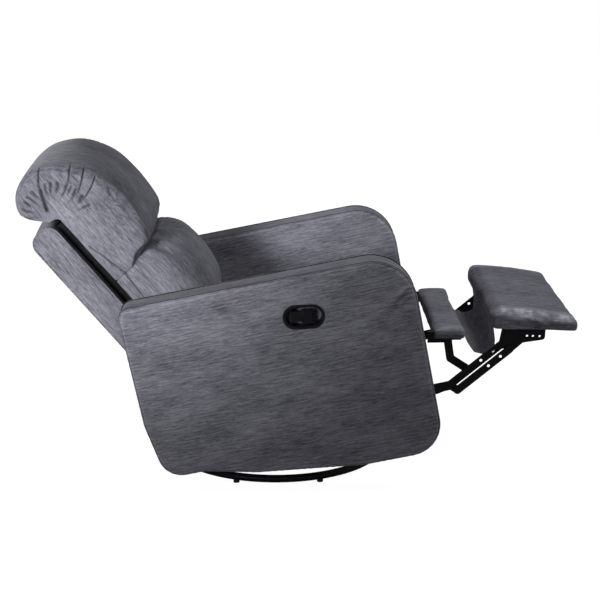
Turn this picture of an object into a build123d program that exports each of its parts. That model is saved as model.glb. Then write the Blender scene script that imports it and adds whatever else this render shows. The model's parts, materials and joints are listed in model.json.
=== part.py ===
from build123d import *
import os
from math import atan2, cos, degrees, hypot, pi, radians, sin, sqrt

# A manual swivel rocker recliner, opened out: rocked back, back down, footrest up.
# Millimetres and degrees. Pieces above the rocking pivot are drawn in the chair frame,
# the chair standing level: x forward, z up. rest_tilt then leans that frame back.
# The frame of the part itself: swivel axis on Z, floor at Z = 0, front towards +X,
# sitter's right at -Y.

os.makedirs("parts", exist_ok=True)

# Whole chair
chair_width = 740.0
arm_thickness = 100.0
inner_half = chair_width / 2 - arm_thickness
rest_tilt = 11.0
rock_pivot_x = 0.0
rock_pivot_z = 100.0
soft_gap = 0.3
pin_gap = 0.05
head_thickness = 3.0
head_overhang = 3.5

# Floor ring and swivel
ring_radius = 282.0
ring_tube_radius = 10.0
foot_height = 6.0
foot_radius = 8.0
foot_count = 8
bar_spread = 75.0
bar_width = 20.0
plate_side = 190.0
plate_thickness = 4.0
ball_count = 24
ball_radius = 3.0
ball_ring_radius = 70.0
ball_sink = 0.5
king_radius = 8.0
king_head = 14.0

# Rocker
rocker_front = 145.0
rocker_rear = -190.0
cheek_inner = 128.0
cheek_thickness = 6.0
cheek_half_length = 42.0
cheek_crest = 22.0
shaft_radius = 10.0
shaft_overhang = 8.0
hanger_thickness = 6.0
hanger_gap = 2.0
hanger_boss = 24.0
hanger_shoulder = 18.0
spring_spread = 60.0
spring_radius = 20.0
spring_wire = 2.5
spring_turns = 5

# Chassis steel
beam_x = 130.0
beam_side = 25.0
beam_base_z = 222.5
rail_thickness = 4.0
rail_low_z = 215.0
rail_top_z = 300.0
rail_rear_x = -195.0
rail_shelf_depth = 70.0
rail_shelf_inner = inner_half - rail_shelf_depth
rail_shelf_front = 262.0
rail_shelf_rear = -128.0
rail_corner = 9.0
rail_ear = 17.0
rail_tab_set = 13.0

# Arms
arm_front_x = 413.0
arm_length = 718.0
arm_top_z = 552.0
arm_front_foot_z = 43.0
arm_rear_foot_z = 106.0
arm_foot_length = 203.0
arm_kick_x = -60.0
arm_kick_z = 77.0
arm_heel_x = -186.0
arm_rear_lean = 9.0
arm_front_top_round = 112.0
arm_front_foot_round = 68.0
arm_rear_foot_round = 42.0
arm_rear_top_round = 28.0
arm_edge_round = 9.0
arm_wall = 18.0
arm_frame_width = 45.0
arm_frame_rail_low = 225.0
arm_frame_rail_high = 285.0
arm_mouth_front = 300.0
arm_mouth_rear = -40.0
arm_bolt_xs = (-110.0, 70.0, 240.0)
arm_bolt_z = 256.0
arm_bolt_radius = 4.0
apron_thickness = 16.0
apron_low_z = 114.0
apron_top_z = 232.0
apron_inset = 5.0

# Seat
seat_rail_height = 28.0
seat_rail_width = 36.0
seat_front_rail_x = 334.0
seat_rear_rail_x = -160.0
seat_end_rail_depth = 30.0
web_count = 5
web_width = 50.0
web_thickness = 2.0
seat_side_gap = 8.0
seat_half = inner_half - seat_side_gap
seat_front_x = 408.0
seat_rear_x = -132.0
seat_lip_z = 304.0
seat_top_front = 424.0
seat_top_rear = 384.0
seat_crown = 10.0
seat_edge_drop = 24.0
seat_nose = 62.0
nose_drop = 43.0
nose_turn_back = 28.0
nose_turn_drop = 11.0

# Back, drawn from its pivot: t forwards through the back, s up along it
back_pivot_x = -165.0
back_pivot_z = 285.0
recline_angle = 29.0
back_side_gap = 15.0
back_half = inner_half - back_side_gap
back_rear_t = -78.0
back_front_t = -5.0
back_low_s = -20.0
back_top_s = 564.0
back_round = 27.0
board_side_gap = 30.0
board_half = back_half - board_side_gap
board_low_s = -14.0
board_top_s = 530.0
board_t = -48.0
board_thickness = 15.0
spacer_side_gap = 37.0
spacer_half = back_half - spacer_side_gap
spacer_low_s = 110.0
spacer_top_s = 546.0
pillow_back_t = 21.0
pillow_side_gap = 3.0
pillow_half = back_half - pillow_side_gap
bracket_thickness = 4.0
bracket_width = 34.0
bracket_set_t = -42.0
bracket_bend_s = 60.0
bracket_top_s = 200.0
back_pin_radius = 6.0

# Headrest roll
head_front_t = 160.0
head_top_s = 696.0
head_rear_t = -42.0
head_low_s = 353.0
head_crown = 18.0
head_shoulder = 112.0
head_crest = 98.0
head_drop = 72.0
head_lip = 22.0
crest_turn_t = 33.3
crest_turn_s = 42.5
nape_turn_t = 28.5
nape_turn_s = 14.5
lip_turn_t = 5.5
lip_turn_s = 20.0
head_end_inset = 26.0

# Lumbar pillow
lumbar_low_s = 110.0
lumbar_top_s = 348.0
lumbar_front_t = 186.0
lumbar_end_t = 96.0
lumbar_nose = 40.0

# Lever in the right arm
bezel_x = 132.0
bezel_z = 451.0
bezel_angle = -8.0
bezel_length = 104.0
bezel_height = 62.0
bezel_flange = 3.0
bezel_lip = 4.0
cup_depth = 34.0
cup_wall = 3.0
paddle_rear = -36.0
paddle_front = 20.0
paddle_neck = 13.0
paddle_grip = 18.0
paddle_grip_length = 26.0
paddle_thickness = 7.0
paddle_recess = 4.0
hinge_set = 5.0
hinge_radius = 2.5
hinge_barrel = 4.5
rib_count = 3
rib_pitch = 6.0
rib_length = 17.0
rib_width = 1.6
cable_radius = 3.0
cable_bend = 20.0
cable_run_set = 42.0
cable_run_y = inner_half + cable_run_set
cable_end_x = 173.0
cable_end_z = 310.0
cable_end_inset = 14.0

# Footrest linkage, side positions in the chair frame
link_thickness = 4.0
link_gap = 1.0
linkage_depth = 35.0
control_inner = inner_half - linkage_depth
link_width = 20.0
control_width = 16.0
spare_hole_shares = (0.6, 0.83)
carrier_width = 24.0
rivet_radius = 4.0
carrier_pivot = (315.4, 306.3)
carrier_elbow = (395.0, 165.0)
tube_share = 0.22
knee = (462.0, 166.0)
fold_angle = 76.0
link_angle = 24.4
guide_offset = (16.0, -15.0)
tail_length = 38.0
tail_angle = 192.0
control_rise = 116.0
tube_radius = 9.0

# Footrest pads, drawn from the heel of each pad: along it and above it
pad_heel = (601.0, 294.0)
pad_angle = -12.9
pad_length = 205.0
pad_side_gap = 5.0
pad_half = inner_half - pad_side_gap
pad_heel_height = 44.0
pad_toe_height = 25.0
pad_crown = 6.0
pad_edge_inset = 11.0
pad_board_thickness = 9.0
pad_board_margin = 9.0
pad_pivot_along = 19.3
pad_pivot_drop = 43.8
flange_rear = 17.0
flange_front = 128.0
flange_depth = 27.0
flange_waist = 72.0
flange_waist_drop = 37.0
flange_hole_xs = (82.0, 97.0, 114.0)
flange_hole_drop = 19.0
flange_hole_radius = 3.0
tab_width = 24.0
tab_thickness = 3.0
mid_heel = (445.0, 285.0)
mid_angle = -10.5
mid_length = 77.0
mid_side_gap = 50.0
mid_half = inner_half - mid_side_gap
mid_height = 24.0
mid_crown = 3.0
mid_edge_inset = 8.0
mid_board_thickness = 6.0
mid_board_margin = 7.0
mid_pivot_along = 55.9
strap_depth = 62.0
strap_inner = inner_half - strap_depth
strap_width = 21.0
strap_bend = (477.0, 226.0)
strap_foot_along = 36.0
mid_ear_length = 17.0
mid_ear_depth = 10.0
mid_ear_rise = 20.0
mid_tab_width = 20.0
flap_thickness = 3.0
flap_side_gap = 55.0
flap_half = inner_half - flap_side_gap
flap_low = 62.0
flap_round = 20.0

hands = (("right", -1), ("left", 1))
arm_rear_x = arm_front_x - arm_length


def turned(point, about, angle):
    dx = point[0] - about[0]
    dz = point[1] - about[1]
    c = cos(radians(angle))
    s = sin(radians(angle))
    return (about[0] + dx * c - dz * s, about[1] + dx * s + dz * c)


def chair_point(x, y, z):
    """A point of the chair frame, leaned back into the part's frame."""
    px, pz = turned((x, z), (rock_pivot_x, rock_pivot_z), rest_tilt)
    return Vector(px, y, pz)


def side_plane(y, origin=(0.0, 0.0), angle=0.0):
    """Lengthwise upright plane at y. Extrusion from it goes towards the sitter's right."""
    turn = radians(rest_tilt + angle)
    return Plane(
        origin=chair_point(origin[0], y, origin[1]),
        x_dir=(cos(turn), 0, sin(turn)),
        z_dir=(0, -1, 0),
    )


def floor_side_plane(y):
    """As side_plane, for pieces under the rocking pivot, which stay level."""
    return Plane(origin=(0, y, 0), x_dir=(1, 0, 0), z_dir=(0, -1, 0))


def back_plane(y):
    return side_plane(y, (back_pivot_x, back_pivot_z), recline_angle)


def pad_plane(y):
    return side_plane(y, pad_heel, pad_angle)


def mid_plane(y):
    return side_plane(y, mid_heel, mid_angle)


def bezel_plane(y):
    return side_plane(y, (bezel_x, bezel_z), bezel_angle)


def layer_start(side, inner, outer):
    """Where a slab between two distances from the middle starts, for extrusion to -Y."""
    return max(side * inner, side * outer)


def bars(route, width):
    """Round-ended flat bar through the points of a route."""
    for (x1, z1), (x2, z2) in zip(route, route[1:]):
        with Locations(((x1 + x2) / 2, (z1 + z2) / 2)):
            SlotCenterToCenter(hypot(x2 - x1, z2 - z1), width, rotation=degrees(atan2(z2 - z1, x2 - x1)))


def holes(points, radius):
    with Locations(*points):
        Circle(radius, mode=Mode.SUBTRACT)


def finish(piece, node):
    piece.part.label = node
    export_step(piece.part, f"parts/{node}.step")


def on_pad(along, above, heel, angle):
    """Chair frame position of a point given along and above a pad."""
    return turned((heel[0] + along, heel[1] + above), heel, angle)


# Linkage layers, from the middle of the chair outwards, and its pivots
control_outer = control_inner + link_thickness
control_tab_outer = control_inner - link_gap
control_tab_inner = control_tab_outer - link_thickness
main_inner = control_outer + link_gap
main_outer = main_inner + link_thickness
carrier_inner = main_outer + link_gap
carrier_outer = carrier_inner + link_thickness
guide_inner = carrier_outer + link_gap
guide_outer = guide_inner + link_thickness
rail_outer = inner_half - soft_gap
rail_inner = rail_outer - rail_thickness
strap_outer = strap_inner + link_thickness

pad_pivot = on_pad(pad_pivot_along, -pad_pivot_drop, pad_heel, pad_angle)
main_angle = degrees(atan2(pad_pivot[1] - knee[1], pad_pivot[0] - knee[0]))
guide_knee = (knee[0] + guide_offset[0], knee[1] + guide_offset[1])
guide_pad_pivot = (pad_pivot[0] + guide_offset[0], pad_pivot[1] + guide_offset[1])
mid_pivot = (
    knee[0] + mid_pivot_along * cos(radians(main_angle)),
    knee[1] + mid_pivot_along * sin(radians(main_angle)),
)
tail = (
    knee[0] + tail_length * cos(radians(tail_angle)),
    knee[1] + tail_length * sin(radians(tail_angle)),
)
knee_folded = turned(knee, carrier_pivot, -fold_angle)
tail_folded = (
    knee_folded[0] + tail_length * cos(radians(tail_angle + link_angle)),
    knee_folded[1] + tail_length * sin(radians(tail_angle + link_angle)),
)
tail_travel = hypot(tail[0] - tail_folded[0], tail[1] - tail_folded[1])
control_pivot = (
    (tail[0] + tail_folded[0]) / 2 - control_rise * (tail[1] - tail_folded[1]) / tail_travel,
    (tail[1] + tail_folded[1]) / 2 + control_rise * (tail[0] - tail_folded[0]) / tail_travel,
)
control_start = degrees(atan2(tail[1] - control_pivot[1], tail[0] - control_pivot[0]))
control_end = degrees(atan2(tail_folded[1] - control_pivot[1], tail_folded[0] - control_pivot[0]))
tube_place = (
    carrier_pivot[0] + tube_share * (carrier_elbow[0] - carrier_pivot[0]),
    carrier_pivot[1] + tube_share * (carrier_elbow[1] - carrier_pivot[1]),
)
print("pad pivot", pad_pivot, "main link angle", main_angle)
print("control pivot", control_pivot, "control turn", control_start - control_end)

# Floor ring, its bars and feet
ring_z = foot_height + ring_tube_radius

with BuildPart() as base_ring:
    with Locations((0, 0, ring_z)):
        Torus(ring_radius, ring_tube_radius)
finish(base_ring, "base_ring")

bar_reach = sqrt(ring_radius**2 - (bar_spread + bar_width / 2) ** 2)

with BuildPart() as base_bars:
    with Locations((0, bar_spread, ring_z), (0, -bar_spread, ring_z)):
        Box(2 * bar_reach, bar_width, 2 * ring_tube_radius)
    with Locations((0, 0, ring_z)):
        Torus(ring_radius, ring_tube_radius + pin_gap, mode=Mode.SUBTRACT)
finish(base_bars, "base_bars")

with BuildPart() as base_feet:
    with PolarLocations(ring_radius, foot_count, start_angle=180 / foot_count):
        Cylinder(foot_radius, ring_z, align=(Align.CENTER, Align.CENTER, Align.MIN))
    with Locations((0, 0, ring_z)):
        Torus(ring_radius, ring_tube_radius + pin_gap, mode=Mode.SUBTRACT)
    with BuildSketch(Plane.XY.offset(ring_z - ring_tube_radius / 3)):
        Circle(ring_radius + 2 * ring_tube_radius)
    extrude(amount=ring_tube_radius, mode=Mode.SUBTRACT)
finish(base_feet, "base_feet")

# Swivel plates with their ball race
lower_plate_z = ring_z + ring_tube_radius
ball_z = lower_plate_z + plate_thickness + ball_radius - ball_sink
upper_plate_z = ball_z + ball_radius - ball_sink
rocker_z = upper_plate_z + plate_thickness
groove_radius = ball_radius + 2 * pin_gap

with BuildPart() as swivel_lower_plate:
    with BuildSketch(Plane.XY.offset(lower_plate_z)):
        RectangleRounded(plate_side, plate_side, king_head)
        Circle(king_radius + pin_gap, mode=Mode.SUBTRACT)
    extrude(amount=plate_thickness)
    with Locations((0, 0, ball_z)):
        Torus(ball_ring_radius, groove_radius, mode=Mode.SUBTRACT)
finish(swivel_lower_plate, "swivel_lower_plate")

with BuildPart() as bearing_balls:
    with PolarLocations(ball_ring_radius, ball_count):
        with Locations((0, 0, ball_z)):
            Sphere(ball_radius)
finish(bearing_balls, "bearing_balls")

with BuildPart() as swivel_upper_plate:
    with BuildSketch(Plane.XY.offset(upper_plate_z)):
        RectangleRounded(plate_side, plate_side, king_head)
        Circle(king_radius + pin_gap, mode=Mode.SUBTRACT)
    extrude(amount=plate_thickness)
    with Locations((0, 0, ball_z)):
        Torus(ball_ring_radius, groove_radius, mode=Mode.SUBTRACT)
finish(swivel_upper_plate, "swivel_upper_plate")

king_top = rocker_z + plate_thickness

with BuildPart() as swivel_king_bolt:
    with BuildSketch(Plane.XY.offset(lower_plate_z - head_thickness)):
        Circle(king_head)
    extrude(amount=head_thickness)
    with BuildSketch(Plane.XY.offset(lower_plate_z)):
        Circle(king_radius)
    extrude(amount=king_top + soft_gap - lower_plate_z)
    with BuildSketch(Plane.XY.offset(king_top + soft_gap)):
        RegularPolygon(king_head, 6)
    extrude(amount=2 * head_thickness)
finish(swivel_king_bolt, "swivel_king_bolt")

# Rocker base, its shaft and springs
cheek_outer = cheek_inner + cheek_thickness

with BuildPart() as rocker_base:
    with BuildSketch(Plane.XY.offset(rocker_z)):
        with Locations(((rocker_front + rocker_rear) / 2, 0)):
            RectangleRounded(rocker_front - rocker_rear, 2 * cheek_outer, king_head)
        Circle(king_radius + pin_gap, mode=Mode.SUBTRACT)
    extrude(amount=plate_thickness)
    for side in (-1, 1):
        with BuildSketch(floor_side_plane(layer_start(side, cheek_inner, cheek_outer))):
            with BuildLine():
                FilletPolyline(
                    (rock_pivot_x - 2 * cheek_half_length, rocker_z),
                    (rock_pivot_x + 2 * cheek_half_length, rocker_z),
                    (rock_pivot_x + cheek_half_length, rock_pivot_z + cheek_crest),
                    (rock_pivot_x - cheek_half_length, rock_pivot_z + cheek_crest),
                    radius=(0, 0, cheek_crest, cheek_crest),
                    close=True,
                )
            make_face()
            holes([(rock_pivot_x, rock_pivot_z)], shaft_radius + pin_gap)
        extrude(amount=cheek_thickness)
finish(rocker_base, "rocker_base")

shaft_half = cheek_outer + shaft_overhang

with BuildPart() as rock_shaft:
    with BuildSketch(floor_side_plane(shaft_half)):
        with Locations((rock_pivot_x, rock_pivot_z)):
            Circle(shaft_radius)
    extrude(amount=2 * shaft_half)
    chamfer(rock_shaft.edges(), shaft_radius / 8)
finish(rock_shaft, "rock_shaft")


def coil_point(angle, centre, low, rise):
    around = radians(angle)
    return Vector(
        centre[0] + spring_radius * cos(around),
        centre[1] + spring_radius * sin(around),
        low + rise * angle / 360,
    )


def coil_heading(angle, rise):
    around = radians(angle)
    per_radian = rise / radians(360)
    return Vector(-spring_radius * sin(around), spring_radius * cos(around), per_radian).normalized()


def spring_path(centre, low, high):
    """Helix of quarter turns, each of two tangent arcs."""
    rise = (high - low) / spring_turns
    for quarter in range(4 * spring_turns):
        start = coil_point(90 * quarter, centre, low, rise)
        end = coil_point(90 * (quarter + 1), centre, low, rise)
        leave = coil_heading(90 * quarter, rise)
        arrive = coil_heading(90 * (quarter + 1), rise)
        across = end - start
        both = leave + arrive
        spread = 2 * (1 - leave.dot(arrive))
        along = across.dot(both)
        reach = (sqrt(along**2 + spread * across.dot(across)) - along) / spread
        first_corner = start + leave * reach
        second_corner = end - arrive * reach
        middle = (first_corner + second_corner) * 0.5
        TangentArc(start, middle, tangent=leave)
        TangentArc(middle, end, tangent=second_corner - first_corner)


spring_low = rocker_z + plate_thickness + spring_wire + soft_gap
spring_places = []
for beam_end in (beam_x, -beam_x):
    seat = chair_point(beam_end, 0, beam_base_z)
    seat_slope = spring_radius * sin(radians(rest_tilt)) + spring_wire
    for side in (-1, 1):
        spring_places.append((seat.X, side * spring_spread, seat.Z - seat_slope - spring_wire))
spring_pitch = min(high - spring_low for _, _, high in spring_places) / spring_turns
print("rock spring least gap between turns", spring_pitch - 2 * spring_wire)

with BuildPart() as rock_springs:
    for spring_x, spring_y, spring_high in spring_places:
        with BuildLine() as spring_line:
            spring_path((spring_x, spring_y), spring_low, spring_high)
        with BuildSketch(Plane(origin=spring_line.line @ 0, z_dir=spring_line.line % 0)):
            Circle(spring_wire)
        sweep(path=spring_line.line)
finish(rock_springs, "rock_springs")

# Hangers on the shaft, and the two beams that they carry
hanger_outer = cheek_inner - hanger_gap
hanger_inner = hanger_outer - hanger_thickness
hanger_half = beam_x + beam_side / 2
hanger_top = beam_base_z - soft_gap

for hand, side in hands:
    with BuildPart() as rock_hanger:
        with BuildSketch(side_plane(layer_start(side, hanger_inner, hanger_outer))):
            with BuildLine():
                Polyline(
                    (rock_pivot_x - hanger_half, hanger_top),
                    (rock_pivot_x - hanger_half, hanger_top - hanger_shoulder),
                    (rock_pivot_x - hanger_boss, rock_pivot_z),
                    (rock_pivot_x + hanger_boss, rock_pivot_z),
                    (rock_pivot_x + hanger_half, hanger_top - hanger_shoulder),
                    (rock_pivot_x + hanger_half, hanger_top),
                    close=True,
                )
            make_face()
            with Locations((rock_pivot_x, rock_pivot_z)):
                Circle(hanger_boss)
            holes([(rock_pivot_x, rock_pivot_z)], shaft_radius + pin_gap)
        extrude(amount=hanger_thickness)
    finish(rock_hanger, f"rock_hanger_{hand}")

for beam_node, beam_end in (("front_beam", beam_x), ("rear_beam", -beam_x)):
    with BuildPart() as beam:
        with BuildSketch(side_plane(rail_inner - soft_gap)):
            with Locations((beam_end, beam_base_z + beam_side / 2)):
                Rectangle(beam_side, beam_side)
        extrude(amount=2 * (rail_inner - soft_gap))
    finish(beam, beam_node)

# Side rails of the mechanism, with a shelf for the seat frame and a tab for the control link
for hand, side in hands:
    with BuildPart() as side_rail:
        with BuildSketch(side_plane(layer_start(side, rail_inner, rail_outer))):
            with BuildLine():
                FilletPolyline(
                    (rail_rear_x, rail_low_z),
                    (carrier_pivot[0] - rail_ear, rail_low_z),
                    (carrier_pivot[0] + rail_ear, carrier_pivot[1] - rail_ear),
                    (carrier_pivot[0] + rail_ear, carrier_pivot[1] + rail_ear),
                    (carrier_pivot[0] - rail_ear, carrier_pivot[1] + rail_ear),
                    (carrier_pivot[0] - 2 * rail_ear, rail_top_z),
                    (back_pivot_x + 2 * rail_ear, rail_top_z),
                    (back_pivot_x + rail_ear, back_pivot_z + 2 * rail_ear),
                    (rail_rear_x, back_pivot_z + 2 * rail_ear),
                    radius=rail_corner,
                    close=True,
                )
            make_face()
            holes([carrier_pivot], rivet_radius + pin_gap)
            holes([(back_pivot_x, back_pivot_z)], back_pin_radius + pin_gap)
            holes([(x, arm_bolt_z) for x in arm_bolt_xs], arm_bolt_radius + pin_gap)
        extrude(amount=rail_thickness)
        with BuildSketch(side_plane(layer_start(side, rail_shelf_inner, rail_outer))):
            with Locations(((rail_shelf_front + rail_shelf_rear) / 2, rail_top_z - tab_thickness / 2)):
                Rectangle(rail_shelf_front - rail_shelf_rear, tab_thickness)
        extrude(amount=rail_outer - rail_shelf_inner)
        with BuildSketch(side_plane(layer_start(side, control_tab_inner, control_tab_outer))):
            tab_root = (rail_shelf_front - rail_tab_set, rail_top_z - link_width / 2)
            bars([tab_root, control_pivot], control_width)
            holes([control_pivot], rivet_radius + pin_gap)
        extrude(amount=link_thickness)
    finish(side_rail, f"side_rail_{hand}")


def pins(side, points, radius, inner, outer, head):
    """Round pins from inner to outer, with a head under the inner end where there is one."""
    upright = (Align.CENTER, Align.CENTER, Align.MIN)
    start = layer_start(side, inner, outer)
    with Locations(*[Plane(origin=chair_point(x, start, z), z_dir=(0, -1, 0)) for x, z in points]):
        Cylinder(radius, outer - inner, align=upright)
    if head:
        start = layer_start(side, inner - head, inner)
        with Locations(*[Plane(origin=chair_point(x, start, z), z_dir=(0, -1, 0)) for x, z in points]):
            Cylinder(radius + head_overhang, head, align=upright)


with BuildPart() as link_pins:
    for hand, side in hands:
        pins(side, [carrier_pivot], rivet_radius, carrier_inner, rail_outer, 0)
        pins(side, [control_pivot], rivet_radius, control_tab_inner, control_outer, 0)
finish(link_pins, "link_pins")

bracket_inner = back_half + soft_gap
bracket_outer = bracket_inner + bracket_thickness

with BuildPart() as back_pivot_pins:
    for hand, side in hands:
        pins(side, [(back_pivot_x, back_pivot_z)], back_pin_radius, bracket_inner, rail_outer, 0)
finish(back_pivot_pins, "back_pivot_pins")


# Arms: upholstery round a wooden frame, open underneath
def arm_outline():
    FilletPolyline(
        (arm_front_x, arm_front_foot_z),
        (arm_front_x - arm_foot_length, arm_front_foot_z),
        (arm_kick_x, arm_kick_z),
        (arm_heel_x, arm_rear_foot_z),
        (arm_rear_x, arm_rear_foot_z),
        (arm_rear_x - arm_rear_lean, arm_top_z),
        (arm_front_x, arm_top_z),
        radius=(
            arm_front_foot_round,
            arm_rear_foot_round,
            arm_rear_foot_round,
            arm_rear_foot_round,
            arm_rear_foot_round,
            arm_rear_top_round,
            arm_front_top_round,
        ),
        close=True,
    )


arm_outer = inner_half + arm_thickness
frame_inner = inner_half + arm_wall
frame_outer = arm_outer - arm_wall
cable_wall_hole = cable_radius + soft_gap

for hand, side in hands:
    with BuildPart() as arm_cover:
        with BuildSketch(side_plane(layer_start(side, inner_half, arm_outer))):
            with BuildLine():
                arm_outline()
            make_face()
        extrude(amount=arm_thickness)
        side_faces = arm_cover.faces().sort_by(Axis.Y)
        fillet(side_faces[0].edges() + side_faces[-1].edges(), arm_edge_round)
        with BuildSketch(side_plane(layer_start(side, frame_inner, frame_outer))):
            with BuildLine():
                arm_outline()
            make_face()
            offset(amount=-arm_wall, mode=Mode.REPLACE)
            with Locations(((arm_mouth_front + arm_mouth_rear) / 2, arm_front_foot_z + arm_wall)):
                Rectangle(arm_mouth_front - arm_mouth_rear, 4 * arm_wall)
        extrude(amount=frame_outer - frame_inner, mode=Mode.SUBTRACT)
        with BuildSketch(side_plane(layer_start(side, inner_half, frame_inner))):
            with Locations(*[(x, arm_bolt_z) for x in arm_bolt_xs]):
                Circle(arm_bolt_radius + pin_gap)
            if side < 0:
                with Locations((cable_end_x, cable_end_z)):
                    Circle(cable_wall_hole)
        extrude(amount=arm_wall, mode=Mode.SUBTRACT)
        if side < 0:
            with BuildSketch(bezel_plane(-frame_outer + arm_wall)):
                SlotOverall(
                    bezel_length - 2 * bezel_lip + 2 * soft_gap,
                    bezel_height - 2 * bezel_lip + 2 * soft_gap,
                )
            extrude(amount=3 * arm_wall, mode=Mode.SUBTRACT)
    finish(arm_cover, f"arm_cover_{hand}")

    with BuildPart() as arm_frame:
        with BuildSketch(side_plane(layer_start(side, frame_inner + soft_gap, frame_outer - soft_gap))):
            with BuildLine():
                arm_outline()
            make_face()
            offset(amount=-arm_wall - soft_gap, mode=Mode.REPLACE)
            with BuildSketch(mode=Mode.SUBTRACT):
                with BuildLine():
                    arm_outline()
                make_face()
                offset(amount=-arm_wall - arm_frame_width, mode=Mode.REPLACE)
            with BuildSketch():
                with BuildLine():
                    arm_outline()
                make_face()
                offset(amount=-arm_wall - soft_gap, mode=Mode.REPLACE)
                rail_middle = (arm_frame_rail_low + arm_frame_rail_high) / 2
                with Locations(((arm_front_x + arm_rear_x) / 2, rail_middle)):
                    Rectangle(
                        2 * arm_length,
                        arm_frame_rail_high - arm_frame_rail_low,
                        mode=Mode.INTERSECT,
                    )
        extrude(amount=frame_outer - frame_inner - 2 * soft_gap)
        with BuildSketch(side_plane(layer_start(side, frame_inner, frame_inner + 2 * arm_wall))):
            with Locations(*[(x, arm_bolt_z) for x in arm_bolt_xs]):
                Circle(arm_bolt_radius + pin_gap)
        extrude(amount=2 * arm_wall, mode=Mode.SUBTRACT)
    finish(arm_frame, f"arm_frame_{hand}")

with BuildPart() as arm_bolts:
    for hand, side in hands:
        bolt_places = [(x, arm_bolt_z) for x in arm_bolt_xs]
        pins(side, bolt_places, arm_bolt_radius, rail_inner, frame_inner + arm_wall, head_thickness)
finish(arm_bolts, "arm_bolts")

# Low panel that closes the rear between the arms
with BuildPart() as rear_apron:
    with BuildSketch(side_plane(inner_half - soft_gap)):
        with Locations((arm_rear_x + apron_inset + apron_thickness / 2, (apron_low_z + apron_top_z) / 2)):
            RectangleRounded(apron_thickness, apron_top_z - apron_low_z, apron_thickness / 4)
    extrude(amount=2 * (inner_half - soft_gap))
finish(rear_apron, "rear_apron")

# Seat frame, webbing and cushion
seat_rail_z = rail_top_z + soft_gap
seat_rail_top = seat_rail_z + seat_rail_height
seat_rail_outer = rail_shelf_inner + seat_rail_width
seat_deck_z = seat_rail_top + web_thickness + 2 * soft_gap
seat_front_rail_face = seat_front_rail_x + seat_end_rail_depth

with BuildPart() as seat_side_rails:
    for hand, side in hands:
        with BuildSketch(side_plane(layer_start(side, rail_shelf_inner, seat_rail_outer))):
            rail_start = seat_rear_rail_x + seat_end_rail_depth + soft_gap
            rail_end = seat_front_rail_x - soft_gap
            with Locations(((rail_start + rail_end) / 2, seat_rail_z + seat_rail_height / 2)):
                Rectangle(rail_end - rail_start, seat_rail_height)
        extrude(amount=seat_rail_width)
finish(seat_side_rails, "seat_side_rails")

for rail_node, rail_x in (("seat_front_rail", seat_front_rail_x), ("seat_rear_rail", seat_rear_rail_x)):
    with BuildPart() as seat_rail:
        with BuildSketch(side_plane(seat_rail_outer)):
            with Locations((rail_x + seat_end_rail_depth / 2, seat_rail_z + seat_rail_height / 2)):
                Rectangle(seat_end_rail_depth, seat_rail_height)
        extrude(amount=2 * seat_rail_outer)
    finish(seat_rail, rail_node)

web_pitch = 2 * rail_shelf_inner / web_count

with BuildPart() as seat_webbing:
    for web in range(web_count):
        web_y = (web - (web_count - 1) / 2) * web_pitch
        with BuildSketch(side_plane(web_y + web_width / 2)):
            web_middle = (seat_rear_rail_x + seat_front_rail_face) / 2
            with Locations((web_middle, seat_rail_top + soft_gap + web_thickness / 2)):
                Rectangle(seat_front_rail_face - seat_rear_rail_x, web_thickness)
        extrude(amount=web_width)
finish(seat_webbing, "seat_webbing")


def seat_outline(drop):
    front = seat_front_x
    nose_top = seat_top_front - drop
    rear_top = seat_top_rear - drop
    lip_face = seat_front_rail_face + soft_gap
    Polyline(
        (seat_rear_x, rear_top),
        (seat_rear_x, seat_deck_z),
        (lip_face, seat_deck_z),
        (lip_face, seat_lip_z),
        (front - seat_nose / 4, seat_lip_z),
    )
    ThreePointArc(
        (front - seat_nose / 4, seat_lip_z),
        (front, (seat_lip_z + nose_top) / 2),
        (front - seat_nose / 6, nose_top - nose_drop),
    )
    ThreePointArc(
        (front - seat_nose / 6, nose_top - nose_drop),
        (front - nose_turn_back, nose_top - nose_turn_drop),
        (front - seat_nose, nose_top),
    )
    ThreePointArc(
        (front - seat_nose, nose_top),
        ((front + seat_rear_x) / 2, (nose_top + rear_top) / 2 + seat_crown),
        (seat_rear_x, rear_top),
    )


seat_stations = (
    (-1, 1),
    (-0.97, 0.5),
    (-0.9, 0.2),
    (-0.6, -0.1),
    (-0.2, -0.3),
    (0.2, -0.3),
    (0.6, -0.1),
    (0.9, 0.2),
    (0.97, 0.5),
    (1, 1),
)

with BuildPart() as seat_cushion:
    for share, drop in seat_stations:
        with BuildSketch(side_plane(share * seat_half)):
            with BuildLine():
                seat_outline(drop * seat_edge_drop)
            make_face()
    loft(ruled=True)
finish(seat_cushion, "seat_cushion")

# Back: board inside an upholstered shell, a narrower spacer, two pillows
with BuildPart() as back_shell:
    with BuildSketch(back_plane(back_half)):
        with BuildLine():
            FilletPolyline(
                (back_rear_t, back_low_s),
                (back_front_t, back_low_s),
                (back_front_t, back_top_s),
                (back_rear_t, back_top_s),
                radius=(back_round / 3, back_round / 3, back_round, back_round),
                close=True,
            )
        make_face()
    extrude(amount=2 * back_half)
    shell_sides = back_shell.faces().sort_by(Axis.Y)
    fillet(shell_sides[0].edges() + shell_sides[-1].edges(), back_round / 3)
    with BuildSketch(back_plane(board_half + soft_gap)):
        with Locations((board_t + board_thickness / 2, (board_top_s + soft_gap + 2 * back_low_s) / 2)):
            Rectangle(board_thickness + 2 * soft_gap, board_top_s + soft_gap - 2 * back_low_s)
    extrude(amount=2 * (board_half + soft_gap), mode=Mode.SUBTRACT)
finish(back_shell, "back_shell")

with BuildPart() as back_board:
    with BuildSketch(back_plane(board_half)):
        with Locations((board_t + board_thickness / 2, (board_top_s + board_low_s) / 2)):
            Rectangle(board_thickness, board_top_s - board_low_s)
    extrude(amount=2 * board_half)
finish(back_board, "back_board")

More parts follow.
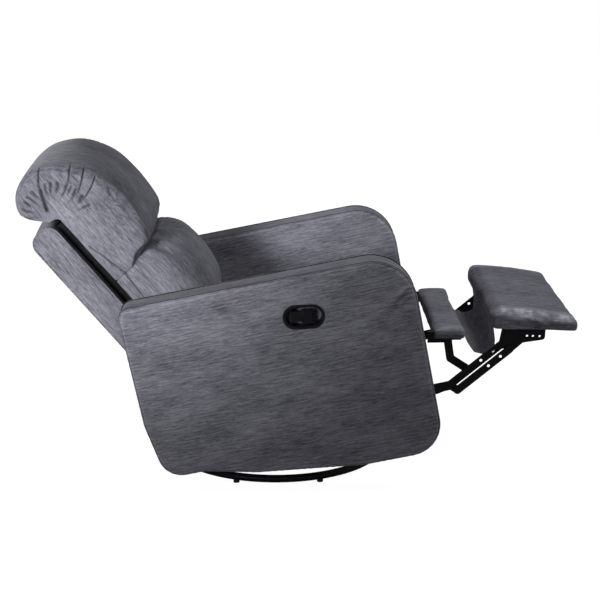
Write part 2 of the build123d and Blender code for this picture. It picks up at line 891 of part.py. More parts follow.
with BuildPart() as back_spacer:
    with BuildSketch(back_plane(spacer_half)):
        spacer_middle = (back_front_t + pillow_back_t) / 2
        with Locations((spacer_middle, (spacer_low_s + spacer_top_s) / 2)):
            Rectangle(pillow_back_t - back_front_t - 2 * soft_gap, spacer_top_s - spacer_low_s)
    extrude(amount=2 * spacer_half)
finish(back_spacer, "back_spacer")

for hand, side in hands:
    with BuildPart() as back_bracket:
        with BuildSketch(back_plane(layer_start(side, bracket_inner, bracket_outer))):
            bars([(0, 0), (bracket_set_t, bracket_bend_s), (bracket_set_t, bracket_top_s)], bracket_width)
            holes([(0, 0)], back_pin_radius + pin_gap)
        extrude(amount=bracket_thickness)
    finish(back_bracket, f"back_bracket_{hand}")

notch_s = back_top_s + 4 * soft_gap


def headrest_outline(inset, swell):
    front = head_front_t + swell - inset
    top = head_top_s + swell / 3 - inset
    rear = head_rear_t + inset
    low = head_low_s + inset / 3
    heel = (pillow_back_t, low + head_lip / 2)
    toe = (front - head_lip, low + head_lip / 2)
    shoulder = (front - head_lip / 5, top - head_shoulder)
    crest = (front - head_crest, top)
    nape = (rear, top - head_drop)
    lip = (rear + head_lip, notch_s)
    notch = (pillow_back_t, notch_s)
    ThreePointArc(heel, ((heel[0] + toe[0]) / 2, low), toe)
    ThreePointArc(toe, (front, (toe[1] + shoulder[1]) / 2), shoulder)
    ThreePointArc(shoulder, (front - crest_turn_t, top - crest_turn_s), crest)
    ThreePointArc(crest, (rear + nape_turn_t, top - nape_turn_s), nape)
    ThreePointArc(nape, (rear + lip_turn_t, notch_s + lip_turn_s), lip)
    Polyline(lip, notch, heel)


with BuildPart() as headrest_pillow:
    head_stations = (
        (-1, 1, 0),
        (-0.985, 0.55, 0),
        (-0.95, 0.2, 0),
        (-0.88, 0, 0.15),
        (-0.6, 0, 0.7),
        (-0.25, 0, 1),
        (0.25, 0, 1),
        (0.6, 0, 0.7),
        (0.88, 0, 0.15),
        (0.95, 0.2, 0),
        (0.985, 0.55, 0),
        (1, 1, 0),
    )
    for share, inset, swell in head_stations:
        with BuildSketch(back_plane(share * pillow_half)):
            with BuildLine():
                headrest_outline(inset * head_end_inset, swell * head_crown)
            make_face()
    loft(ruled=True)
finish(headrest_pillow, "headrest_pillow")


def lumbar_outline(front):
    low = lumbar_low_s
    top = lumbar_top_s
    Polyline(
        (front - lumbar_nose, top),
        (pillow_back_t, top),
        (pillow_back_t, low),
        (front - lumbar_nose, low),
    )
    ThreePointArc((front - lumbar_nose, low), (front, (low + top) / 2), (front - lumbar_nose, top))


lumbar_stations = (
    (-1, 0),
    (-0.95, 0.28),
    (-0.85, 0.55),
    (-0.6, 0.83),
    (-0.25, 1),
    (0.25, 1),
    (0.6, 0.83),
    (0.85, 0.55),
    (0.95, 0.28),
    (1, 0),
)

with BuildPart() as lumbar_pillow:
    for share, bulge in lumbar_stations:
        with BuildSketch(back_plane(share * pillow_half)):
            with BuildLine():
                lumbar_outline(lumbar_end_t + bulge * (lumbar_front_t - lumbar_end_t))
            make_face()
    loft(ruled=True)
finish(lumbar_pillow, "lumbar_pillow")

# Lever: cup in the right arm, hinged paddle, release cable
bezel_face = -arm_outer - soft_gap
cup_length = bezel_length - 2 * bezel_lip
cup_height = bezel_height - 2 * bezel_lip
hinge_y = bezel_face + paddle_recess + paddle_thickness / 2
hinge_x = paddle_rear + hinge_set

with BuildPart() as handle_bezel:
    with BuildSketch(bezel_plane(bezel_face)):
        SlotOverall(bezel_length, bezel_height)
    extrude(amount=bezel_flange)
    fillet(handle_bezel.faces().sort_by(Axis.Y)[0].edges(), bezel_flange / 2)
    with BuildSketch(bezel_plane(bezel_face + cup_depth)):
        SlotOverall(cup_length, cup_height)
    extrude(amount=cup_depth)
    with BuildSketch(bezel_plane(bezel_face + cup_depth - cup_wall)):
        SlotOverall(cup_length - 2 * cup_wall, cup_height - 2 * cup_wall)
    extrude(amount=cup_depth + bezel_flange, mode=Mode.SUBTRACT)
    hinge_plane = Plane(
        origin=bezel_plane(hinge_y).from_local_coords(Vector(hinge_x, -cup_height / 2, 0)),
        x_dir=(0, 1, 0),
        z_dir=bezel_plane(0).y_dir,
    )
    with BuildSketch(hinge_plane):
        Circle(hinge_radius + pin_gap)
    extrude(amount=cup_height, mode=Mode.SUBTRACT)
finish(handle_bezel, "handle_bezel")

pin_half = sqrt((cup_height / 2) ** 2 - (hinge_x + (cup_length - cup_height) / 2) ** 2) - cup_wall / 2

with BuildPart() as handle_pin:
    pin_start = bezel_plane(hinge_y).from_local_coords(Vector(hinge_x, -pin_half, 0))
    with BuildSketch(Plane(origin=pin_start, x_dir=(0, 1, 0), z_dir=bezel_plane(0).y_dir)):
        Circle(hinge_radius)
    extrude(amount=2 * pin_half)
finish(handle_pin, "handle_pin")

with BuildPart() as handle_paddle:
    with BuildSketch(bezel_plane(hinge_y + paddle_thickness / 2)):
        with Locations(((paddle_rear + paddle_front) / 2, 0)):
            RectangleRounded(paddle_front - paddle_rear, 2 * paddle_neck, paddle_neck / 3)
        with Locations((paddle_front - paddle_grip_length / 2, 0)):
            RectangleRounded(paddle_grip_length, 2 * paddle_grip, paddle_grip / 3)
    extrude(amount=paddle_thickness)
    barrel_start = bezel_plane(hinge_y).from_local_coords(Vector(hinge_x, -paddle_neck, 0))
    barrel_plane = Plane(origin=barrel_start, x_dir=(0, 1, 0), z_dir=bezel_plane(0).y_dir)
    with BuildSketch(barrel_plane):
        Circle(hinge_barrel)
    extrude(amount=2 * paddle_neck)
    with BuildSketch(bezel_plane(hinge_y - paddle_thickness / 2)):
        with Locations((paddle_rear + paddle_grip_length, 0)):
            with GridLocations(0, rib_pitch, 1, rib_count):
                RectangleRounded(rib_length, rib_width, rib_width / 3)
    extrude(amount=rib_width / 2)
    with BuildSketch(barrel_plane):
        Circle(hinge_radius + pin_gap)
    extrude(amount=2 * paddle_neck, mode=Mode.SUBTRACT)
finish(handle_paddle, "handle_paddle")

cable_start = chair_point(bezel_x, bezel_face + cup_depth + soft_gap, bezel_z)
cable_route = (
    cable_start,
    chair_point(bezel_x, -cable_run_y, bezel_z),
    chair_point(cable_end_x, -cable_run_y, cable_end_z),
    chair_point(cable_end_x, -inner_half + cable_end_inset, cable_end_z),
)

with BuildPart() as release_cable:
    with BuildLine() as cable_line:
        FilletPolyline(*cable_route, radius=cable_bend)
    with BuildSketch(Plane(origin=cable_start, z_dir=(0, 1, 0))):
        Circle(cable_radius)
    sweep(path=cable_line.line)
finish(release_cable, "release_cable")
cable_length = cable_line.wire().length
cable_share = release_cable.part.volume / (pi * cable_radius**2 * cable_length)
print("cable volume over section times length", cable_share)

# Footrest linkage
for hand, side in hands:
    with BuildPart() as carrier_link:
        with BuildSketch(side_plane(layer_start(side, carrier_inner, carrier_outer))):
            bars([carrier_pivot, carrier_elbow, knee], carrier_width)
            bars([knee, guide_knee], link_width)
            holes([carrier_pivot, knee, guide_knee], rivet_radius + pin_gap)
            holes([tube_place], tube_radius + pin_gap)
        extrude(amount=link_thickness)
    finish(carrier_link, f"carrier_link_{hand}")

    with BuildPart() as control_link:
        with BuildSketch(side_plane(layer_start(side, control_inner, control_outer))):
            bars([control_pivot, tail], control_width)
            holes([control_pivot], rivet_radius + pin_gap)
        extrude(amount=link_thickness)
    finish(control_link, f"control_link_{hand}")

    with BuildPart() as main_link:
        with BuildSketch(side_plane(layer_start(side, main_inner, main_outer))):
            bars([tail, knee, pad_pivot], link_width)
            spare = [
                (knee[0] + s * (pad_pivot[0] - knee[0]), knee[1] + s * (pad_pivot[1] - knee[1]))
                for s in spare_hole_shares
            ]
            holes([knee, pad_pivot, mid_pivot], rivet_radius + pin_gap)
            holes(spare, rivet_radius)
        extrude(amount=link_thickness)
    finish(main_link, f"main_link_{hand}")

    with BuildPart() as guide_link:
        with BuildSketch(side_plane(layer_start(side, guide_inner, guide_outer))):
            bars([guide_knee, guide_pad_pivot], link_width)
            holes([guide_knee], rivet_radius + pin_gap)
            holes([guide_pad_pivot], rivet_radius + soft_gap)
            spare = [
                (
                    guide_knee[0] + s * (guide_pad_pivot[0] - guide_knee[0]),
                    guide_knee[1] + s * (guide_pad_pivot[1] - guide_knee[1]),
                )
                for s in spare_hole_shares
            ]
            holes(spare, rivet_radius)
        extrude(amount=link_thickness)
    finish(guide_link, f"guide_link_{hand}")

with BuildPart() as torsion_tube:
    with BuildSketch(side_plane(carrier_outer)):
        with Locations(tube_place):
            Circle(tube_radius)
    extrude(amount=2 * carrier_outer)
finish(torsion_tube, "torsion_tube")

with BuildPart() as carrier_rivets:
    for hand, side in hands:
        pins(side, [knee], rivet_radius, main_inner, carrier_outer, 0)
        pins(side, [guide_knee], rivet_radius, carrier_inner, guide_outer, 0)
finish(carrier_rivets, "carrier_rivets")

with BuildPart() as main_link_rivets:
    for hand, side in hands:
        pins(side, [pad_pivot], rivet_radius, main_inner, carrier_outer, 0)
        pins(side, [mid_pivot], rivet_radius, strap_inner, main_outer, 0)
finish(main_link_rivets, "main_link_rivets")

# Footrest: brackets, board, pad and the cloth between the pads
for hand, side in hands:
    with BuildPart() as footrest_bracket:
        guide_along = pad_pivot_along + guide_offset[0] * cos(radians(pad_angle))
        guide_along += guide_offset[1] * sin(radians(pad_angle))
        guide_above = -pad_pivot_drop + guide_offset[1] * cos(radians(pad_angle))
        guide_above -= guide_offset[0] * sin(radians(pad_angle))
        with BuildSketch(pad_plane(layer_start(side, carrier_inner, carrier_outer))):
            with BuildLine():
                FilletPolyline(
                    (flange_rear, -soft_gap),
                    (flange_rear - link_width / 3, -pad_pivot_drop),
                    (guide_along, guide_above - link_width / 2),
                    (guide_along + link_width / 2, guide_above - link_width / 4),
                    (flange_waist, -flange_waist_drop),
                    (flange_front, -flange_depth),
                    (flange_front, -soft_gap),
                    radius=(0, link_width / 2, link_width / 3, link_width / 3, link_width / 2, rail_corner, 0),
                    close=True,
                )
            make_face()
            with Locations((pad_pivot_along, -pad_pivot_drop), (guide_along, guide_above)):
                Circle(link_width / 2 + link_gap)
            holes([(pad_pivot_along, -pad_pivot_drop)], rivet_radius + pin_gap)
            holes([(x, -flange_hole_drop) for x in flange_hole_xs], flange_hole_radius)
        extrude(amount=link_thickness)
        tab_inner = carrier_outer - tab_width
        with BuildSketch(pad_plane(layer_start(side, tab_inner, carrier_outer))):
            with Locations(((flange_rear + flange_front) / 2, -soft_gap - tab_thickness / 2)):
                Rectangle(flange_front - flange_rear, tab_thickness)
        extrude(amount=tab_width)
        pins(side, [guide_pad_pivot], rivet_radius, carrier_inner, guide_outer, 0)
    finish(footrest_bracket, f"footrest_bracket_{hand}")

with BuildPart() as footrest_board:
    pad_board_half = pad_half - 2 * pad_board_margin
    with BuildSketch(pad_plane(pad_board_half)):
        with Locations((pad_length / 2, pad_board_thickness / 2)):
            Rectangle(pad_length - 2 * pad_board_margin, pad_board_thickness)
    extrude(amount=2 * pad_board_half)
finish(footrest_board, "footrest_board")


def pad_outline(length, heel_height, toe_height, crown, inset, swell):
    """Cushion over its board: flat underneath, crowned on top, lower at the toe."""
    heel = (inset, heel_height - inset)
    toe = (length - inset, toe_height - inset)
    Polyline(heel, (inset, 0), (length - inset, 0), toe)
    top = (heel_height + toe_height) / 2 + crown * swell - inset
    ThreePointArc(toe, (length / 2, top), heel)


pad_stations = (
    (-1, 1, 0.4),
    (-0.985, 0.45, 0.6),
    (-0.95, 0.1, 0.8),
    (-0.85, 0, 1),
    (0, 0, 1.3),
    (0.85, 0, 1),
    (0.95, 0.1, 0.8),
    (0.985, 0.45, 0.6),
    (1, 1, 0.4),
)

with BuildPart() as footrest_pad:
    for share, inset, swell in pad_stations:
        with BuildSketch(pad_plane(share * pad_half)):
            with BuildLine():
                pad_outline(
                    pad_length, pad_heel_height, pad_toe_height, pad_crown, inset * pad_edge_inset, swell
                )
            make_face()
    loft(ruled=True)
    with BuildSketch(pad_plane(pad_board_half + soft_gap)):
        with Locations((pad_length / 2, 0)):
            Rectangle(
                pad_length - 2 * pad_board_margin + 2 * soft_gap,
                2 * (pad_board_thickness + soft_gap),
            )
    extrude(amount=2 * (pad_board_half + soft_gap), mode=Mode.SUBTRACT)
finish(footrest_pad, "footrest_pad")

for hand, side in hands:
    strap_foot = on_pad(strap_foot_along, -strap_width / 2, mid_heel, mid_angle)
    with BuildPart() as mid_bracket:
        with BuildSketch(side_plane(layer_start(side, strap_inner, strap_outer))):
            bars([mid_pivot, strap_bend, strap_foot], strap_width)
            holes([mid_pivot], rivet_radius + pin_gap)
        extrude(amount=link_thickness)
        with BuildSketch(mid_plane(layer_start(side, strap_inner, strap_outer))):
            with BuildLine():
                Polyline(
                    (-mid_ear_length, mid_ear_rise),
                    (-mid_ear_length, -mid_ear_depth),
                    (strap_foot_along + strap_width / 2, -mid_ear_depth),
                    (strap_foot_along + strap_width / 2, -soft_gap),
                    (-soft_gap * 3, -soft_gap),
                    (-soft_gap * 3, mid_ear_rise),
                    close=True,
                )
            make_face()
        extrude(amount=link_thickness)
        with BuildSketch(mid_plane(layer_start(side, strap_outer - mid_tab_width, strap_outer))):
            with Locations((mid_length / 2, -soft_gap - tab_thickness / 2)):
                Rectangle(mid_length - 2 * mid_board_margin, tab_thickness)
        extrude(amount=mid_tab_width)
    finish(mid_bracket, f"mid_bracket_{hand}")

with BuildPart() as mid_board:
    mid_board_half = mid_half - mid_board_margin
    with BuildSketch(mid_plane(mid_board_half)):
        with Locations((mid_length / 2, mid_board_thickness / 2)):
            Rectangle(mid_length - 2 * mid_board_margin, mid_board_thickness)
    extrude(amount=2 * mid_board_half)
finish(mid_board, "mid_board")

with BuildPart() as mid_pad:
    for share, inset, swell in pad_stations:
        with BuildSketch(mid_plane(share * mid_half)):
            with BuildLine():
                pad_outline(mid_length, mid_height, mid_height, mid_crown, inset * mid_edge_inset, swell)
            make_face()
    loft(ruled=True)
    with BuildSketch(mid_plane(mid_board_half + soft_gap)):
        with Locations((mid_length / 2, 0)):
            Rectangle(
                mid_length - 2 * mid_board_margin + 2 * soft_gap,
                2 * (mid_board_thickness + soft_gap),
            )
    extrude(amount=2 * (mid_board_half + soft_gap), mode=Mode.SUBTRACT)
finish(mid_pad, "mid_pad")

flap_seat = flap_thickness / 2 + 2 * soft_gap
flap_front = on_pad(-flap_seat, 2 * flap_thickness, pad_heel, pad_angle)
flap_rear = on_pad(mid_length + flap_thickness, flap_thickness, mid_heel, mid_angle)

with BuildPart() as calf_flap:
    with BuildSketch(side_plane(flap_half)):
        with BuildLine() as flap_line:
            FilletPolyline(
                flap_front,
                (flap_front[0] - flap_round / 2, flap_front[1] - flap_low),
                (flap_rear[0] + flap_round, flap_front[1] - flap_low),
                flap_rear,
                radius=flap_round,
            )
        trace(line_width=flap_thickness)
    extrude(amount=2 * flap_half)
finish(calf_flap, "calf_flap")
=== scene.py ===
import json
import math

import bpy
import numpy as np
from mathutils import Matrix, Vector, noise

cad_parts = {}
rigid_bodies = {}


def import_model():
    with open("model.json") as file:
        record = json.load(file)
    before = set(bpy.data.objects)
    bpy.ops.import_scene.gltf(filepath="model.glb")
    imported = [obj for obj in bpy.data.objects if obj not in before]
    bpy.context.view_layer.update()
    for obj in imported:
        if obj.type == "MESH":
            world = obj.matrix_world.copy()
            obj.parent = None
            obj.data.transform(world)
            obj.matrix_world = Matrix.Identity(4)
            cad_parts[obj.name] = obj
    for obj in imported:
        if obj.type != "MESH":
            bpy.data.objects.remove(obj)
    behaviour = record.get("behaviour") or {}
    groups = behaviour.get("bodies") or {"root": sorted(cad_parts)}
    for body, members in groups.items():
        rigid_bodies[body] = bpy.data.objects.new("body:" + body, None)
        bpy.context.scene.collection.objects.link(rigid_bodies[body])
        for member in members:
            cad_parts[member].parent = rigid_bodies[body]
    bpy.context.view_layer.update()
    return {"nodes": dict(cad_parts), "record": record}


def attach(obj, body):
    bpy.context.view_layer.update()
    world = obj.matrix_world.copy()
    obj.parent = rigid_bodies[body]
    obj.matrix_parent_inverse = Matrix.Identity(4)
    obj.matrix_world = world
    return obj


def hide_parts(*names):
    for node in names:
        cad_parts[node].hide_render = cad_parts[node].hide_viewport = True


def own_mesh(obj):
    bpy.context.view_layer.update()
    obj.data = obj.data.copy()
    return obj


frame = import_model()
cadNodes = frame["nodes"]
print("frame loaded,", len(cadNodes), "solids")

# where the tilted pieces stand: x forward, z up in each piece's own frame
stance = {
    "tilt": 11.0,
    "rockHeight": 0.1,
    "backPivot": (-0.165, 0.285),
    "backLean": 29.0,
    "padHeel": (0.601, 0.294),
    "padDrop": 12.9,
    "midHeel": (0.445, 0.285),
    "midDrop": 10.5,
}


def leanBack(degrees):
    return Matrix.Rotation(-math.radians(degrees), 4, "Y")


def standAt(place, lean):
    return chairPlace @ Matrix.Translation((place[0], 0, place[1])) @ leanBack(lean)


rockLift = Matrix.Translation((0, 0, stance["rockHeight"]))
chairPlace = rockLift @ leanBack(stance["tilt"]) @ rockLift.inverted()
backPlace = standAt(stance["backPivot"], stance["backLean"])
padPlace = standAt(stance["padHeel"], -stance["padDrop"])
midPlace = standAt(stance["midHeel"], -stance["midDrop"])


# ways of working that every piece shares
def setMode(mode):
    bpy.ops.object.mode_set(mode=mode)


def deselectAll():
    if bpy.context.object and bpy.context.object.mode != "OBJECT":
        setMode("OBJECT")
    bpy.ops.object.select_all(action="DESELECT")


def pick(piece):
    deselectAll()
    piece.select_set(True)
    bpy.context.view_layer.objects.active = piece


def applyModifiers(piece):
    pick(piece)
    for modifier in list(piece.modifiers):
        bpy.ops.object.modifier_apply(modifier=modifier.name)


def fetch(items, trait, width=1, kind=float):
    values = np.empty(len(items) * width, kind)
    items.foreach_get(trait, values)
    return values.reshape(-1, width) if width > 1 else values


def points(piece):
    return fetch(piece.data.vertices, "co", 3)


def movePoints(piece, spots):
    piece.data.vertices.foreach_set("co", np.asarray(spots, float).ravel())
    piece.data.update()


def normals(piece):
    return fetch(piece.data.vertices, "normal", 3)


def pushAlongNormals(piece, amount):
    movePoints(piece, points(piece) + normals(piece) * np.asarray(amount)[:, None])


def smoothStep(value, start, end):
    share = np.clip((value - start) / (end - start), 0, 1)
    return share * share * (3 - 2 * share)


def bump(value, middle, width):
    return np.exp(-(((value - middle) / width) ** 2))


def ripple(spots, wave):
    # seeded noise; a stretch below 1 draws it out along that axis
    stretch, size, seed = wave
    start = Vector((seed, 0, 0))
    return np.array([noise.noise(Vector(p) / size + start) for p in spots * np.array(stretch)])


def slacken(piece, cover):
    pushAlongNormals(piece, ripple(points(piece), cover["slackWave"]) * cover["slackHeight"])


def newGrid(name, across, up, size=1):
    deselectAll()
    bpy.ops.mesh.primitive_grid_add(x_subdivisions=across, y_subdivisions=up, size=size)
    piece = bpy.context.object
    piece.name = name
    return piece


def selectLoop(piece, chosen):
    # only these points and the edges between them
    for vertex in piece.data.vertices:
        vertex.select = vertex.index in chosen
    for edge in piece.data.edges:
        edge.select = edge.vertices[0] in chosen and edge.vertices[1] in chosen
    for face in piece.data.polygons:
        face.select = False


def subdivideOnce(piece):
    smoother = piece.modifiers.new("smoother", "SUBSURF")
    smoother.levels = 1
    smoother.render_levels = 1
    applyModifiers(piece)
    bpy.ops.object.shade_smooth()


def layWeave(piece, rule):
    # the cloth's run: u along the slubs, v across them, in metres
    mesh = piece.data
    weave = mesh.uv_layers.new(name="weave")
    corner = fetch(mesh.loops, "vertex_index", kind=np.int32)
    sizes = fetch(mesh.polygons, "loop_total", kind=np.int32)
    facing = np.repeat(fetch(mesh.polygons, "normal", 3), sizes, axis=0)
    along, across = rule(points(piece)[corner], facing)
    weave.data.foreach_set("uv", np.stack([along, across], 1).astype(np.float32).ravel())


def paintShading(piece, depth):
    # painted shade and painted highlight in the cloth's colour: above 0 darkens seams and folds as
    # painted shade, below 0 lightens as a painted highlight
    paintedShading = piece.data.attributes.new("paintedShading", "FLOAT", "POINT")
    paintedShading.data.foreach_set("value", np.clip(depth, -1, 1).astype(np.float32))


def awayFromLine(a, b, line):
    # distance in the plane from each point to a run of straight steps
    best = np.full(len(a), np.inf)
    for (ax, ay), (bx, by) in zip(line[:-1], line[1:]):
        share = ((a - ax) * (bx - ax) + (b - ay) * (by - ay)) / ((bx - ax) ** 2 + (by - ay) ** 2)
        share = np.clip(share, 0, 1)
        best = np.minimum(best, np.hypot(a - ax - share * (bx - ax), b - ay - share * (by - ay)))
    return best


def subdivideWhere(piece, chosen):
    # finer cells only where small folds are sewn
    pick(piece)
    selectLoop(piece, ())
    for face in piece.data.polygons:
        face.select = bool(chosen(face.center, face.normal))
    setMode("EDIT")
    bpy.ops.mesh.select_mode(type="FACE")
    bpy.ops.mesh.subdivide(number_cuts=1, smoothness=0)
    setMode("OBJECT")


def arc(start, middle, end, count):
    # points on the circle through three, without the last one
    (ax, ay), (bx, by), (cx, cy) = start, middle, end
    d = 2 * (ax * (by - cy) + bx * (cy - ay) + cx * (ay - by))
    a2, b2, c2 = ax * ax + ay * ay, bx * bx + by * by, cx * cx + cy * cy
    ux = (a2 * (by - cy) + b2 * (cy - ay) + c2 * (ay - by)) / d
    uy = (a2 * (cx - bx) + b2 * (ax - cx) + c2 * (bx - ax)) / d
    radius = math.hypot(ax - ux, ay - uy)
    first, via, last = (math.atan2(y - uy, x - ux) for x, y in (start, middle, end))
    turn = (last - first) % math.tau
    if (via - first) % math.tau > turn:
        turn -= math.tau
    angles = [first + turn * i / count for i in range(count)]
    return [(ux + radius * math.cos(a), uy + radius * math.sin(a)) for a in angles]


def evenRing(route, count):
    # the closed route cut into equal steps
    closed = np.array(list(route) + [route[0]], float)
    reach = np.concatenate([[0], np.cumsum(np.hypot(*np.diff(closed, axis=0).T))])
    want = np.linspace(0, reach[-1], count, endpoint=False)
    return np.stack([np.interp(want, reach, closed[:, k]) for k in (0, 1)], 1)


def roundedRing(corners, radii, perCorner=10):
    # a polygon with a round at each corner
    route = []
    for i, corner in enumerate(corners):
        here = Vector(corner)
        back = (Vector(corners[i - 1]) - here).normalized()
        ahead = (Vector(corners[(i + 1) % len(corners)]) - here).normalized()
        half = back.angle(ahead) / 2
        reach = radii[i] / math.tan(half)
        centre = here + (back + ahead).normalized() * radii[i] / math.sin(half)
        near, far = here + back * reach, here + ahead * reach
        middle = centre + (here - centre).normalized() * radii[i]
        route += arc(near, middle, far, perCorner) + [tuple(far)]
    return route


def sleeve(name, rings):
    # a grid rolled into a tube through the rings, with both ends closed
    around, along = len(rings[0]), len(rings)
    piece = newGrid(name, around, along - 1)
    for vertex in piece.data.vertices:
        step = round((vertex.co.x + 0.5) * around) % around
        row = round((vertex.co.y + 0.5) * (along - 1))
        vertex.co = rings[row][step]
    setMode("EDIT")
    bpy.ops.mesh.select_all(action="SELECT")
    bpy.ops.mesh.remove_doubles(threshold=1e-5)
    bpy.ops.mesh.fill_holes(sides=0)
    bpy.ops.mesh.select_all(action="SELECT")
    bpy.ops.mesh.normals_make_consistent(inside=False)
    setMode("OBJECT")
    return piece


# shared by every cushion; points within heldReach of its board stay in place
cushionFill = {"soften": 0.5, "pressure": 4.0, "frames": 14, "heldReach": 0.004}


def plump(piece, feel, moves):
    # fills a cushion: even mesh, a short blow-up as cloth, no point further than the cap
    pick(piece)
    piece.data.remesh_voxel_size = feel["voxel"]
    bpy.ops.object.voxel_remesh()
    relax = piece.modifiers.new("relax", "SMOOTH")
    relax.factor = cushionFill["soften"]
    relax.iterations = feel["relax"]
    applyModifiers(piece)
    start = points(piece)
    filling = piece.modifiers.new("filling", "CLOTH")
    filling.settings.use_pressure = True
    filling.settings.uniform_pressure_force = cushionFill["pressure"]
    filling.settings.effector_weights.gravity = 0
    filling.settings.shrink_min = feel["shrink"]
    filling.point_cache.frame_start = 1
    filling.point_cache.frame_end = cushionFill["frames"]
    for step in range(1, cushionFill["frames"] + 1):
        bpy.context.scene.frame_set(step)
    applyModifiers(piece)
    bpy.context.scene.frame_set(1)
    swell = points(piece) - start
    length = np.linalg.norm(swell, axis=1)
    swell *= np.minimum(1, feel["cap"] / np.maximum(length, 1e-9))[:, None]
    swell *= moves(start)[:, None]
    movePoints(piece, start + swell)
    subdivideOnce(piece)
    print("  filled", piece.name, len(piece.data.vertices), "points")


# finishes
def newMaterial(name):
    material = bpy.data.materials.new(name)
    material.use_nodes = True
    return material, material.node_tree.nodes, material.node_tree.links


def setSurface(shader, surface):
    for trait, value in surface.items():
        shader.inputs[trait].default_value = value


def noiseOn(nodes, links, source, grain):
    mapping = nodes.new("ShaderNodeMapping")
    mapping.inputs["Scale"].default_value = grain["scale"]
    speckle = nodes.new("ShaderNodeTexNoise")
    speckle.inputs["Scale"].default_value = 1.0
    speckle.inputs["Detail"].default_value = grain["detail"]
    speckle.inputs["Roughness"].default_value = grain["rough"]
    links.new(source, mapping.inputs["Vector"])
    links.new(mapping.outputs["Vector"], speckle.inputs["Vector"])
    return speckle.outputs["Fac"]


def mathOn(nodes, operation, value=0.0):
    step = nodes.new("ShaderNodeMath")
    step.operation = operation
    step.inputs[1].default_value = value
    return step


def blendOf(nodes, links, parts):
    # weighted sum of several grains
    total = None
    for socket, weight in parts:
        scaled = mathOn(nodes, "MULTIPLY", weight)
        links.new(socket, scaled.inputs[0])
        if total is None:
            total = scaled.outputs[0]
            continue
        added = mathOn(nodes, "ADD")
        links.new(total, added.inputs[0])
        links.new(scaled.outputs[0], added.inputs[1])
        total = added.outputs[0]
    return total


def rampOn(nodes, links, socket, stops):
    ramp = nodes.new("ShaderNodeValToRGB")
    while len(ramp.color_ramp.elements) < len(stops):
        ramp.color_ramp.elements.new(0.5)
    for element, (place, colour) in zip(ramp.color_ramp.elements, stops):
        element.position = place
        element.color = (*colour, 1)
    links.new(socket, ramp.inputs["Fac"])
    return ramp.outputs["Color"]


def bumpOn(nodes, links, shader, socket, strength, depth):
    relief = nodes.new("ShaderNodeBump")
    relief.inputs["Strength"].default_value = strength
    relief.inputs["Distance"].default_value = depth
    links.new(socket, relief.inputs["Height"])
    links.new(relief.outputs["Normal"], shader.inputs["Normal"])


chenilleLook = {
    "longSlub": {"scale": (24, 235, 1), "detail": 3, "rough": 0.6},
    "shortSlub": {"scale": (82, 450, 1), "detail": 2, "rough": 0.6},
    "pile": {"scale": (5.5, 15, 1), "detail": 4, "rough": 0.55},
    "shares": (0.44, 0.28, 0.28),
    "paintedShadingWeight": -0.32,
    # the darkest stop is reached mostly in the painted shade of seams and folds, the two lightest
    # mostly in painted highlights
    "stops": [
        (0.2, (0.007, 0.007, 0.009)),
        (0.4, (0.049, 0.049, 0.058)),
        (0.5, (0.098, 0.097, 0.116)),
        (0.62, (0.164, 0.163, 0.186)),
        (0.7, (0.195, 0.194, 0.22)),
        (0.86, (0.42, 0.42, 0.46)),
    ],
    "reliefShares": (0.6, 0.4),
    "relief": 0.55,
    "reliefDepth": 0.0016,
    "surface": {
        "Roughness": 0.88,
        "Specular IOR Level": 0.15,
        "Sheen Weight": 0.1,
        "Sheen Roughness": 0.4,
        "Sheen Tint": (0.82, 0.82, 0.9, 1),
    },
}


def makeChenille(name, look):
    material, nodes, links = newMaterial(name)
    shader = nodes["Principled BSDF"]
    weave = nodes.new("ShaderNodeUVMap")
    weave.uv_map = "weave"
    kinds = ("longSlub", "shortSlub", "pile")
    grains = [noiseOn(nodes, links, weave.outputs["UV"], look[kind]) for kind in kinds]
    # the per-point painted shade and painted highlight shift the colour ramp darker or lighter
    paintedShading = nodes.new("ShaderNodeAttribute")
    paintedShading.attribute_name = "paintedShading"
    parts = list(zip(grains, look["shares"])) + [(paintedShading.outputs["Fac"], look["paintedShadingWeight"])]
    mixed = blendOf(nodes, links, parts)
    links.new(rampOn(nodes, links, mixed, look["stops"]), shader.inputs["Base Color"])
    relief = blendOf(nodes, links, zip(grains, look["reliefShares"]))
    bumpOn(nodes, links, shader, relief, look["relief"], look["reliefDepth"])
    setSurface(shader, look["surface"])
    return material


coarseGrain = {"detail": 3, "rough": 0.55, "share": 0.6}
fineGrain = {"detail": 2, "rough": 0.6, "share": 0.4}


def makeGrained(name, look):
    # a finish on Object coordinates: coarse and fine grain in colour, gloss and relief
    material, nodes, links = newMaterial(name)
    shader = nodes["Principled BSDF"]
    coords = nodes.new("ShaderNodeTexCoord").outputs["Object"]
    coarse = noiseOn(nodes, links, coords, {"scale": look["coarse"], **coarseGrain})
    fine = noiseOn(nodes, links, coords, {"scale": look["fine"], **fineGrain})
    mixed = blendOf(nodes, links, [(coarse, coarseGrain["share"]), (fine, fineGrain["share"])])
    links.new(rampOn(nodes, links, mixed, look["stops"]), shader.inputs["Base Color"])
    gloss = nodes.new("ShaderNodeMapRange")
    gloss.inputs["To Min"].default_value = look["gloss"][0]
    gloss.inputs["To Max"].default_value = look["gloss"][1]
    links.new(coarse, gloss.inputs["Value"])
    links.new(gloss.outputs["Result"], shader.inputs["Roughness"])
    bumpOn(nodes, links, shader, fine, look["relief"], look["reliefDepth"])
    setSurface(shader, {"Metallic": look.get("metal", 0.0), "Specular IOR Level": look["shine"]})
    return material


